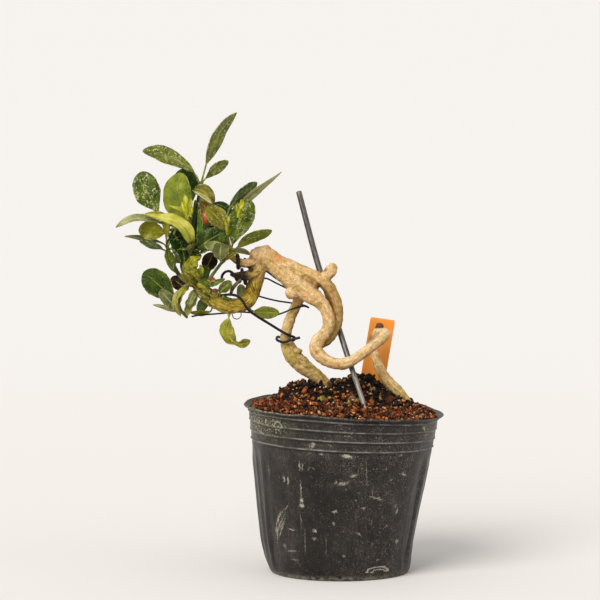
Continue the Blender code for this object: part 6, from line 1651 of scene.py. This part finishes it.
def make_leaf(name, spec, seed, tone=None, **options):
    """The blade is a thin two-faced sheet; its stalk and midrib are a separate round rod."""
    (verts, faces, mm, spot), (rod, rod_faces, own) = leaf_parts(spec, seed, **options)
    blade = Pieces()
    blade.add(verts, faces, 0, blade=mm, place=spot)
    colour, specks = tone or TONE_OF[name]
    front = leaf_material(colour, specks)
    # a leaf seen from beneath has its dark face behind
    back = leaf_material("dark", 0.7) if colour in ("light", "grey") else front if colour in (
        "young", "arch", "curl", "purple", "silver", "straw", "lime", "sage", "dull") else UNDER
    obj = blade.object(name, [front, back, STALK])
    mod = obj.modifiers.new("thickness", "SOLIDIFY")
    mod.thickness = 0.28 * MM
    mod.offset = 0.0
    mod.material_offset = 1
    graph = bpy.context.evaluated_depsgraph_get()
    mesh = bpy.data.meshes.new_from_object(obj.evaluated_get(graph))
    bpy.data.objects.remove(obj, do_unlink=True)
    count = len(mesh.vertices)
    sheet = np.empty(count * 3)
    mesh.vertices.foreach_get("co", sheet)
    data = {}
    for key in ("blade", "place"):
        buffer = np.empty(count * 3, np.float32)
        mesh.attributes[key].data.foreach_get("vector", buffer)
        data[key] = buffer.reshape(-1, 3)
    whole = Pieces()
    polys = [tuple(p.vertices) for p in mesh.polygons]
    index = [p.material_index for p in mesh.polygons]
    bpy.data.meshes.remove(mesh)
    whole.add(sheet.reshape(-1, 3), polys, 0, **data)
    whole.m = index
    whole.add(rod, rod_faces, 2, blade=np.zeros((len(rod), 3)), place=np.zeros((len(rod), 3)))
    return whole, [front, back, STALK]


# ---------------------------------------------------------------- building
pot = show(make_pot(), "nursery_pot")
soil = show(make_soil_body(), "potting_soil")
for grains in make_grains():
    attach(grains, "root")
wood = show(make_tree(), "trunk_and_branches")
FRILL = {"leaf_curly": 0.8, "leaf_hanging_curl": 0.35, "leaf_low_droop": 0.4, "leaf_low_arc": 0.4,
         "leaf_left_oval": 0.18, "leaf_right_under": 0.5, "leaf_yellow_arch": 0.25}
for number, (key, spec) in enumerate(LEAVES.items()):
    whole, mats = make_leaf(key, spec, 100 + number, pinch=PINCH.get(key), frill=FRILL.get(key, 0.0))
    show(whole.object(key + "_blade", mats), key)


# ---------------------------------------------------------------- the crown's inner leaves
# outlines on the elevation inside which the crown is closed
CLOSED = (
    [(162, 238), (167, 226), (164, 214), (164, 192), (172, 178), (183, 172), (192, 176), (196, 188),
     (206, 193), (213, 201), (226, 208), (237, 204), (247, 206), (254, 208), (253, 222), (243, 236),
     (232, 243), (224, 250), (210, 252), (203, 258), (198, 268), (190, 276), (182, 272), (176, 264),
     (168, 258), (165, 250)],
    [(178, 280), (198, 282), (204, 292), (202, 306), (196, 306), (191, 297), (182, 291)],
)


def inside(points, polygon):
    """True for every point of the elevation that lies inside the polygon."""
    x, y = points[:, 0], points[:, 1]
    out = np.zeros(len(points), bool)
    for (ax, ay), (bx, by) in zip(polygon, polygon[1:] + polygon[:1]):
        crosses = (ay > y) != (by > y)
        if by != ay:
            out ^= crosses & (x < (bx - ax) * (y - ay) / (by - ay) + ax)
    return out


def make_inner_leaves(wanted=44):
    rng = np.random.default_rng(21)
    stems = {key: smooth(rows_from(LIMBS[key]), 60)[:, :3] for key in
             ("centre_twig", "left_twig", "right_twig", "bottom_twig")}
    groups = {}
    made = tries = 0
    while made < wanted and tries < 4000:
        tries += 1
        key = rng.choice(("centre_twig", "centre_twig", "centre_twig", "left_twig", "right_twig", "bottom_twig"))
        root = stems[key][int(rng.uniform(12, 60))]
        turn = rng.uniform(0, 2 * math.pi)
        rise = rng.uniform(-0.3, 1.1)
        out = unit(np.array((math.cos(turn), math.sin(turn), rise)))
        length = rng.uniform(13, 25) * MM
        droop = rng.uniform(-0.25, 0.55) * length
        side = unit(np.cross(out, (0, 0, 1.0)))
        steps = [root + out * length * k + np.array((0, 0, -droop)) * k ** 2 + side * length * 0.12 * math.sin(3 * k)
                 for k in (0.0, 0.12, 0.45, 0.75, 1.0)]
        width = length / MM * rng.uniform(0.36, 0.50)
        probe = np.concatenate([np.array(steps[1:]) + q * width * 0.5 * MM for q in
                                (np.array((0.8, 0, 0)), np.array((-0.8, 0, 0)), np.array((0, 0, 0.7)), np.array((0, 0, -0.7)))])
        flat = onto(probe)
        if not any(inside(flat, polygon).all() for polygon in CLOSED):
            continue
        depth = probe[:, 1] / MM
        if depth.min() < -19 or depth.max() > 34:
            continue
        if ((np.abs(flat[:, 0] - 210) < 20) & (np.abs(flat[:, 1] - 214) < 18) & (depth < 3)).any():
            continue
        # deeper leaves first: the front stays the leaves already placed
        if depth.mean() < -8 and rng.random() < 0.7:
            continue
        tone = rng.choice(("deep", "deep", "dark", "dark", "mid"))
        shape = (0.12, 0.56, 1.0, 0.52)
        spec = ("dark", 10.0, (0, 0), rng.uniform(8, 18), shape, None)
        work, mats = make_leaf("inner", spec, 4000 + tries, tone=(tone, 0.6 if tone != "deep" else 0.3),
                               axis_points=steps, width=width, view=unit(np.array((0.2, 0.35, -1.0))) if rise < 0.7
                               else unit(np.array((-out[0], -out[1], 0.2))), across=9, along=24)
        whole = groups.setdefault(tone, (Pieces(), mats))[0]
        start = whole.count
        for v, (first, value) in zip(work.v, [(0, None)] * len(work.v)):
            whole.v.append(v)
        whole.f += [tuple(i + start for i in face) for face in work.f]
        whole.m += list(work.m)
        for name, rows in work.attributes.items():
            whole.attributes.setdefault(name, []).extend((start + first, value) for first, value in rows)
        whole.count += work.count
        made += 1
    for tone, (whole, mats) in groups.items():
        obj = whole.object("inner_leaves_" + tone, mats)
        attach(obj, "root")


make_inner_leaves()

# ---------------------------------------------------------------- small leaves and twigs of the crown
# (tone, marks, seen width, rolls, fold, outline, frill, axis)
SMALL_LEAVES = [
    ("vivid", 0.2, 6.0, (16, 20), 10, (0.05, 0.50, 0.9, 0.6), 0.1,
     [(194.4, 250, -3.5), (198, 241, -8.5), (200, 226, -9.5), (199.6, 208, -8.5)]),
    ("lime", 0.1, 7.5, (8, 10), 10, (0.10, 0.50, 0.9, 0.6), 0.2,
     [(166.5, 243, -3), (167, 228, -9), (162, 216, -12.6), (145, 213.4, -12.6)]),
    ("straw", 0.0, 4.6, (20, 20), 8, (0.05, 0.50, 0.8, 0.6), 0.1,
     [(192.6, 190.6, -8.6), (198, 193.2, -9.6), (205, 197.6, -10.2), (212.4, 203.6, -10.2)]),
    ("dull", 0.1, 7.0, (20, 26), 14, (0.10, 0.60, 0.9, 0.5), 0.5,
     [(197, 281, -6), (191, 275.6, -12), (186, 270.5, -14.5), (183.4, 264.4, -15)]),
    ("crisp", 0.0, 5.0, (-10, -20), 14, (0.10, 0.60, 0.9, 0.5), 0.5,
     [(198, 281, -6), (200.2, 275, -12.5), (201.2, 270, -15.5), (200.4, 264.6, -16.5)]),
    ("young", 0.0, 4.4, (10, 40), 14, (0.10, 0.55, 0.8, 0.5), 0.3,
     [(192.6, 268, -15.5), (191.6, 262.4, -17.2), (195, 258.6, -18.0), (201, 257.4, -17.4)]),
    ("forest", 0.0, 8.0, (30, 24), 12, (0.06, 0.50, 0.9, 0.6), 0.2,
     [(181.4, 275.6, -3.4), (183, 268, -7.6), (184.4, 258, -8.6), (181, 247, -8.8)]),
    ("dark", 0.2, 7.0, (20, 26), 12, (0.06, 0.50, 0.9, 0.6), 0.2,
     [(198.6, 286.6, -9.5), (201.6, 283.4, -13.6), (206, 281.6, -14.6), (212, 286, -14.6)]),
    ("olive", 0.0, 8.0, (10, 30), 16, (0.10, 0.50, 0.9, 0.6), 0.8,
     [(200, 285, -7), (193, 282, -12.5), (187, 276.6, -14.5), (181.6, 269, -14.5)]),
    ("lime", 0.0, 5.0, (30, 30), 16, (0.10, 0.50, 0.9, 0.6), 0.6,
     [(200, 284, -7), (198.6, 278.6, -12), (194, 273.6, -15.4), (186.4, 271, -16)]),
    ("deep", 0.0, 12.0, (10, 12), 8, (0.10, 0.55, 0.8, 0.5), 0.0,
     [(203, 287, -4), (202.4, 281.4, 0.5), (203.4, 274, 1.2), (205.6, 265, 1.0)]),
    ("forest", 0.1, 5.5, (12, 20), 12, (0.10, 0.50, 0.9, 0.6), 0.1,
     [(205, 289, -7), (209, 285.4, -12.0), (216.4, 282.4, -13.4), (225, 279, -13.4)]),
    ("forest", 0.0, 4.0, (12, 20), 12, (0.10, 0.50, 0.9, 0.6), 0.1,
     [(219.6, 293, -10.4), (223, 296.2, -12.4), (227, 298.4, -12.4), (231.8, 298.8, -12.4)]),
    ("olive", 0.0, 6.5, (24, 34), 16, (0.08, 0.50, 0.9, 0.6), 0.4,
     [(189, 286, -9.6), (184.4, 288.4, -16), (179.6, 297, -19.0), (178, 309.5, -19.5)]),
    ("sage", 0.0, 7.0, (-14, -22), 14, (0.08, 0.50, 0.9, 0.6), 0.5,
     [(198, 290, -8.6), (193.6, 293, -14.5), (190.6, 299, -16.6), (189, 309, -17)]),
    ("olive", 0.0, 7.0, (30, 36), 12, (0.06, 0.50, 0.9, 0.6), 0.6,
     [(212, 297, -10.8), (207.6, 291.4, -13), (203, 287, -13.6), (196.6, 284.4, -13.4)]),
    ("dull", 0.0, 5.5, (-12, -20), 12, (0.06, 0.50, 0.9, 0.6), 0.5,
     [(210, 299, -10.8), (204.6, 296.4, -12.6), (200, 293.6, -13), (195.4, 290, -12.6)]),
    ("olive", 0.0, 5.5, (20, 20), 10, (0.10, 0.50, 0.9, 0.6), 0.2,
     [(224.4, 262, -7), (227, 257.6, -9), (231.4, 254.6, -9.5), (236.8, 253.4, -9.4)]),
    ("forest", 0.3, 8.0, (14, 18), 10, (0.10, 0.55, 0.9, 0.6), 0.1,
     [(226.4, 250, -1.5), (226, 245, 2.5), (223.4, 238, 4.5), (219.6, 230, 5.5)]),
]


def bare_look(name, low, high):
    look = Look(name, 0.7, 0.2)
    n = look.noise(look.mm(), 0.8, 3, 0.6)
    return look.finish(look.ramp(n, [(0.34, low), (0.66, high)]), None, n, 0.15)


def make_small_leaves():
    for number, (tone, specks, seen, rolls, fold, shape, frill, axis) in enumerate(SMALL_LEAVES):
        spec = ("dark", seen, rolls, fold, shape, axis)
        work, mats = make_leaf("small", spec, 5200 + number, tone=(tone, specks), frill=frill, across=11, along=30)
        obj = work.object("small_leaf_%02d" % number, mats)
        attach(obj, "root")
    dead = bare_look("dead_twig", (0.034, 0.024, 0.011), (0.19, 0.138, 0.068))
    pale = bare_look("root_hair", (0.36, 0.24, 0.10), (0.66, 0.50, 0.27))
    moss = bare_look("stub_bark", (0.110, 0.082, 0.008), (0.42, 0.33, 0.060))
    rods = [
        ("stub_twig", dead, [(240.6, 279.6, -6.6, 1.1), (236.6, 283.6, -7.6, 1.8), (232.8, 288.4, -7.6, 1.9),
                             (230.6, 294, -7.0, 1.5)]),
        ("stub_side", moss, [(214.6, 297, -8.6, 3.6), (214.8, 293.4, -10.6, 3.6), (215.0, 290.8, -11.6, 3.2)]),
        ("stub_cut", cut_look(), [(211.8, 290.9, -14.0, 0.8), (213.4, 290.5, -14.2, 1.5), (215.4, 290.2, -14.3, 1.8),
                                  (217.2, 290.3, -14.1, 1.3), (218.4, 290.7, -13.9, 0.7)]),
        ("hair_root", pale, [(300, 359.4, 1.6, 0.42), (302.2, 356.8, -1.2, 0.42), (305.4, 356.6, -2, 0.42),
                             (307.8, 359.4, -2, 0.42), (307.8, 363.2, -0.4, 0.4), (305.4, 366, 1.4, 0.4)]),
        ("tendril", dead, [(231.6, 312, -5.6, 0.5), (233.4, 317.6, -7.4, 0.5), (237.4, 319, -7.6, 0.5),
                           (240.8, 316.4, -7.0, 0.45), (241, 311.6, -5.2, 0.45)]),
        ("side_stem", STALK, [(178, 222, -12, 0.9), (175.2, 230.6, -9.6, 1.0), (171, 239, -6, 1.1), (167.6, 247, -2.2, 1.2)]),
    ]
    for name, finish, path in rods:
        verts, faces, _, _ = tube(rows_from(path), 12, 36, tip=0.5)
        work = Pieces()
        work.add(verts, faces)
        obj = work.object(name, [finish])
        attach(obj, "root")


make_small_leaves()

# ---------------------------------------------------------------- stake and label
STAKE = [(374.5, 440.5, -25), (364.4, 406, -17), (347.6, 356, -6.4), (337, 323, 2.4),
         (317.4, 262.5, 12.4), (298.8, 192, 21)]


def make_stake():
    rows = [(*at(u, v, y), r * MM) for (u, v, y), r in
            zip(STAKE, (1.15, 1.2, 1.5, 1.55, 1.58, 1.5))]
    verts, faces, sample, angle = tube(rows, 28, 80, tip=0.35)
    up = verts[:, 2] / MM
    end = fade(up, 112, 96)
    work = Pieces()
    work.add(verts, faces, 0, grown=np.stack([up, angle * 1.6, end], 1))
    return work.object("stake_rod", [stake_look()], sharp=55)


stake = show(make_stake(), "stake")
LABEL_TOP, LABEL_FOOT = (382.8, 318.6, 19.0), (370.5, 393.0, 22.0)


def make_label():
    """A flat strip with rounded corners, a faint bow and a rolled edge."""
    foot, top = at(*LABEL_FOOT), at(*LABEL_TOP)
    length = np.linalg.norm(top - foot) / MM
    up = unit(top - foot)
    side = np.array((math.cos(math.radians(4)), math.sin(math.radians(4)), 0.0))
    side = unit(side - up * side.dot(up))
    face = np.cross(up, side)
    deep, w, t = 12.0, LABEL_W, LABEL_T
    nx, nz = 22, 60
    corner = 0.45
    work = Pieces()
    verts = []
    zs = np.linspace(-deep, length, nz)
    xs = np.sin(np.linspace(-1, 1, nx) * math.pi / 2) * w / 2
    for front in (1, -1):
        for z in zs:
            # corners are cut round at the top
            near = max(0.0, corner - (length - z))
            limit = w / 2 - (corner - math.sqrt(max(0.0, corner ** 2 - near ** 2)))
            for x in xs:
                px = x * limit / (w / 2)
                round_edge = 1 - 0.55 * fade(abs(px) / limit, 0.93, 1.0) - 0.4 * fade(z, length - 0.5, length)
                bow = 0.35 * math.cos(px / w * 3.0) + 0.25 * math.sin(z * 0.11)
                verts.append(foot + (side * px + up * z + face * (-front * t / 2 * max(0.25, round_edge) + bow - 0.3)) * MM)
    faces = grid_faces(nz, nx)
    back = [tuple(i + nx * nz for i in f)[::-1] for f in faces]
    faces = faces + back
    ring = ([(i, 0) for i in range(nz)] + [(nz - 1, j) for j in range(1, nx)]
            + [(i, nx - 1) for i in range(nz - 2, -1, -1)] + [(0, j) for j in range(nx - 2, 0, -1)])
    ids = [i * nx + j for i, j in ring]
    for a, b in zip(ids, ids[1:] + ids[:1]):
        faces.append((a, b, b + nx * nz, a + nx * nz))
    work.add(np.array(verts), faces)
    obj = work.object("label_strip", [label_look()], sharp=50)
    bm = bmesh.new()
    bm.from_mesh(obj.data)
    bmesh.ops.recalc_face_normals(bm, faces=bm.faces)
    bm.to_mesh(obj.data)
    bm.free()
    return obj


label = show(make_label(), "plant_label")

# ---------------------------------------------------------------- training wires
WIRES = {
    "wire_lower_guy": (1.4, [
        (220.5, 295.4, -11.6), (229, 294.6, -11), (236.5, 295.8, -10), (242.6, 301, -9),
        (247.5, 308.9, -7.8), (256, 315.6, -4), (268, 323, 0), (280, 330.4, 1.4),
        (288, 334.8, 1.2), (294.6, 337.6, 4), (292.8, 340.6, 9.2), (286, 340.2, 11.2),
        (278.2, 336.8, 9.2), (277.2, 340, 4.4), (284, 342.2, 1.2), (291, 339.8, 1.1),
        (299.8, 337.6, 0.3)]),
    "wire_thin_guy": (0.9, [
        (252, 293.5, 7.6), (261, 296.8, 7.6), (276, 300.6, 8.6), (289, 302.6, 9.2),
        (298, 304, 9.0), (305, 305.6, 6.0), (308.6, 307.6, 2.5), (303.5, 306.2, -0.4),
        (293.5, 308.6, 0.8), (284, 312.4, 2.6), (275, 315.2, 5.0), (264, 315, 6.2),
        (250, 312.6, 6.0), (237, 312, 4.0), (224, 313.2, 0), (211, 314.2, -6.5),
        (200, 315, -9), (191.6, 316.6, -10)]),
    "wire_upper_guy": (0.9, [
        (250, 284, 8.2), (258, 280.2, 8.2), (266, 278.4, 7.6), (276, 283, 6.6),
        (287, 288.2, 4.2), (292.5, 289, 4.3), (294, 286.6, 5.3), (288, 283.6, 6.0),
        (279, 280.4, 7.0), (269.4, 273.4, 7.4), (261, 268.2, 7.8), (252, 265, 7.2)]),
    "wire_stub_coil": (1.4, [
        (221.8, 280, -3.4), (222.2, 275.6, -4.6), (225, 272.2, -5.8), (229.2, 271.2, -6.4),
        (233, 273.4, -6.6), (235.6, 278, -6.3), (238.2, 282.2, -3.6), (240.2, 281.4, 0.4),
        (241, 276.4, 1.5), (241.8, 269.5, -1.2), (242.6, 271.0, -5.4), (243.8, 278.2, -6.0),
        (245, 283.7, -3.3), (246, 281.8, 1.5), (246.6, 277, 2.7), (246.9, 273.4, 2.9)]),
}
WIRE = wire_look()
for key, (diameter, points) in WIRES.items():
    rows = [(*at(u, v, y), diameter / 2 * MM) for u, v, y in points]
    verts, faces, _, _ = tube(rows, 14, len(rows) * 10, tip=0.3)
    work = Pieces()
    work.add(verts, faces)
    show(work.object(key + "_round", [WIRE], sharp=60), key)


def wound(limb, first, last, turns, start, diameter, clear=0.45, steps=12):
    line = smooth(rows_from(LIMBS[limb]), 60)
    a, b = line[first][:3], line[last][:3]
    along = (b - a) / np.linalg.norm(b - a)
    side = np.cross(along, (0.0, 0.0, 1.0))
    side /= np.linalg.norm(side)
    up = np.cross(side, along)
    rows = []
    count = int(round(abs(turns) * steps))
    for k in range(count + 1):
        f = first + (last - first) * k / count
        i = min(int(f), 59)
        q = line[i] + (line[i + 1] - line[i]) * (f - i)
        r = q[3] + (diameter / 2 + clear) * MM
        angle = math.radians(start) + 2 * math.pi * turns * k / count
        p = q[:3] + (side * math.cos(angle) + up * math.sin(angle)) * r
        rows.append((*p, diameter / 2 * MM))
    return rows


WINDINGS = {
    "wire_branch_wrap": ("left_stub", 20, 38, -0.84, 400, 1.9),
}
for key, spec in WINDINGS.items():
    verts, faces, _, _ = tube(wound(*spec, clear=0.15), 14, int(abs(spec[3]) * 48), tip=0.3)
    work = Pieces()
    work.add(verts, faces)
    show(work.object(key + "_round", [WIRE], sharp=60), key)

# ---------------------------------------------------------------- fruit
FRUITS = {"fruit_upper": (205.2, 218, -4.5, 2.4, 3.4), "fruit_lower": (212.6, 281.6, -1.6, 2.05, 2.1)}
FRUIT = fruit_look()


def make_fruit(name, u, v, y, r, half):
    """A small round citrus: dimpled at both ends, with a green star of a calyx on top."""
    centre = at(u, v, y)
    ball, faces = ball_template(4)
    top = ball[:, 2]
    side = np.hypot(ball[:, 0], ball[:, 1])
    swell = 1 - 0.10 * np.exp(-(side / 0.22) ** 2) + 0.012 * np.sin(5 * np.arctan2(ball[:, 1], ball[:, 0])) * side
    work = Pieces()
    work.add(centre + ball * swell[:, None] * np.array((r, r, half)) * MM, faces, 0)
    disc, disc_faces = ball_template(3)
    angle = np.arctan2(disc[:, 1], disc[:, 0])
    star = 1 + 0.22 * np.cos(5 * angle)
    cap = disc * np.stack([star, star, np.ones(len(disc))], 1) * np.array((0.95, 0.95, 0.38)) * MM
    work.add(centre + cap + np.array((0, 0, half * 0.92)) * MM, disc_faces, 1)
    rod = [(*(centre + np.array((0.1 * k * k, 0.3 * k, half + 0.75 * k)) * MM), 0.34 * MM) for k in range(4)]
    verts, rod_faces, _, _ = tube(rod, 8, 10)
    work.add(verts, rod_faces, 1)
    return work.object(name, [FRUIT, STALK])


for key, spec in FRUITS.items():
    show(make_fruit(key + "_skin", *spec), key)

# ---------------------------------------------------------------- young shoots
SHOOTS = {
    "shoot_centre": [(193.6, 240, -3.4, 0.8), (191, 233, -7.4, 0.9), (188.6, 226, -10.4, 1.2),
                     (187.2, 218.5, -14.2, 1.6), (186, 209, -18.6, 2.4), (184.6, 198.4, -18.8, 1.2)],
    "shoot_right_stem": [(228.6, 249.6, -4.8, 0.8), (228, 246, -10, 0.9), (228, 240, -15, 1.1),
                         (227.2, 230, -16.4, 1.8), (226, 219, -16.4, 1.1)],
    "shoot_right_tip": [(229.4, 236, -17.8, 0.7), (232.6, 230, -18.2, 0.9), (236.8, 221, -18.4, 1.0),
                        (239, 211, -18.6, 1.6), (241.4, 200.4, -18.8, 0.9)],
}
# leaflets on the shoots: (width px, roll, rows)
LEAFLETS = {
    "shoot_centre": [
        (4.0, 20, [(186.4, 213, -19), (182, 209.6, -19.2), (175.4, 207.6, -19.6), (168.8, 206, -20)]),
        (5.0, -10, [(185.6, 206, -19), (186, 203, -19.6), (185.6, 199, -20), (184.4, 194.6, -20)]),
        (4.4, 30, [(186, 209, -19), (189, 206, -19.5), (191, 202.6, -19.6), (191.4, 199, -19.4)]),
        (4.6, 10, [(187, 215, -19), (184, 211, -19.8), (182.4, 206.4, -20.2), (182, 201.6, -20)]),
        (4.0, -25, [(187.6, 217, -18.8), (190.4, 213.6, -19.2), (191.8, 209.6, -19.4), (192, 205.6, -19)]),
    ],
    "shoot_right_stem": [
        (4.0, 15, [(227, 228, -16.4), (225.4, 224, -17), (224.6, 220, -17.2), (225, 215.4, -17)]),
        (3.4, -20, [(227, 226, -16.4), (228.4, 222.6, -17), (228.8, 219.4, -17.2), (228.4, 216, -17)]),
    ],
    "shoot_right_tip": [
        (4.0, 20, [(238.6, 213, -18.6), (236.6, 210.4, -19.2), (236, 207, -19.4), (236.6, 203.6, -19.2)]),
        (4.4, -12, [(239.2, 210, -18.6), (241, 207, -19.2), (242.4, 203.6, -19.4), (243.2, 200, -19.2)]),
        (3.2, 40, [(237.4, 218, -18.4), (240.4, 216.4, -19), (242.6, 214.8, -19.2), (244.6, 214.2, -19)]),
    ],
}
for number, (key, path) in enumerate(SHOOTS.items()):
    work = Pieces()
    verts, faces, _, _ = tube(rows_from(path), 14, 44)
    zero = np.zeros((len(verts), 3))
    work.add(verts, faces, 0, blade=np.stack([verts[:, 0], verts[:, 2], verts[:, 1]], 1) / MM,
             place=np.tile((0.5, 0.5, 2.0), (len(verts), 1)))
    down = onto(verts)[:, 1]
    turn = {"shoot_centre": 999, "shoot_right_stem": 235, "shoot_right_tip": 217.5}[key]
    work.m = [int(np.mean(down[list(f)]) > turn) for f in faces]
    for k, (width, roll, axis) in enumerate(LEAFLETS[key]):
        spec = ("young", width, (roll, roll + 8), 18, (0.05, 0.42, 0.8, 0.8), axis)
        leaflet, _ = make_leaf("leaflet", spec, 700 + 10 * number + k, tone=("young", 0.0), across=7, along=16,
                               axis_points=[at(*row) for row in axis], width=width * PX)
        for v in leaflet.v:
            work.v.append(v)
        work.f += [tuple(i + work.count for i in face) for face in leaflet.f]
        work.m += [0] * len(leaflet.f)
        for name, rows in leaflet.attributes.items():
            work.attributes.setdefault(name, []).extend((work.count + first, value) for first, value in rows)
        work.count += leaflet.count
    young = leaf_material("lime" if key == "shoot_right_stem" else "young", 0.0)
    show(work.object(key + "_green", [young, leaf_material("forest", 0.0)]), key)


# ---------------------------------------------------------------- studio
def make_floor():
    work = Pieces()
    span = 60.0
    work.add(np.array([(-span, -8.0, 0), (span, -8.0, 0), (span, 90.0, 0), (-span, 90.0, 0)]), [(0, 1, 2, 3)])
    floor = work.object("studio_floor", [floor_look()])
    return floor


make_floor()
world = bpy.data.worlds.new("studio")
bpy.context.scene.world = world
world.use_nodes = True
sky = world.node_tree.nodes["Background"]
sky.inputs["Color"].default_value = (1.0, 0.975, 0.95, 1.0)


def add_math(operation, a, b):
    node = world.node_tree.nodes.new("ShaderNodeMath")
    node.operation = operation
    for socket, value in zip(node.inputs, (a, b)):
        if isinstance(value, bpy.types.NodeSocket):
            world.node_tree.links.new(value, socket)
        else:
            socket.default_value = value
    return node.outputs[0]


# the room is bright overhead, behind and at both sides, and dim low behind the viewer
way = world.node_tree.nodes.new("ShaderNodeSeparateXYZ")
world.node_tree.links.new(world.node_tree.nodes.new("ShaderNodeTexCoord").outputs["Generated"], way.inputs[0])
spread = world.node_tree.nodes.new("ShaderNodeMapRange")
spread.interpolation_type = "SMOOTHSTEP"
spread.inputs["From Min"].default_value = -0.95
spread.inputs["From Max"].default_value = 0.05
world.node_tree.links.new(add_math("ADD", way.outputs[1], add_math("MULTIPLY", way.outputs[2], 0.55)),
                          spread.inputs["Value"])
spread.inputs["To Min"].default_value = 0.10
spread.inputs["To Max"].default_value = 0.62
world.node_tree.links.new(spread.outputs["Result"], sky.inputs["Strength"])


def sun(name, strength, angle, turn, colour=(1, 1, 1)):
    data = bpy.data.lights.new(name, "SUN")
    data.energy = strength
    data.angle = math.radians(angle)
    data.color = colour
    obj = bpy.data.objects.new(name, data)
    obj.rotation_euler = tuple(math.radians(a) for a in turn)
    bpy.context.scene.collection.objects.link(obj)
    return obj


sun("key", 2.7, 36, (52, 0, -32), (1.0, 0.985, 0.955))
sun("fill", 0.55, 90, (66, 0, 30), (1.0, 0.98, 0.95))

camera_data = bpy.data.cameras.new("front")
camera_data.sensor_width = 36.0
camera_data.lens = FOCAL / 600 * 36.0
camera_data.clip_end = 300.0
camera = bpy.data.objects.new("front", camera_data)
camera.location = tuple(EYE)
camera.rotation_euler = (math.radians(90.0) + PITCH, 0.0, 0.0)
bpy.context.scene.collection.objects.link(camera)
bpy.context.scene.camera = camera
bpy.context.scene.view_settings.view_transform = "Standard"
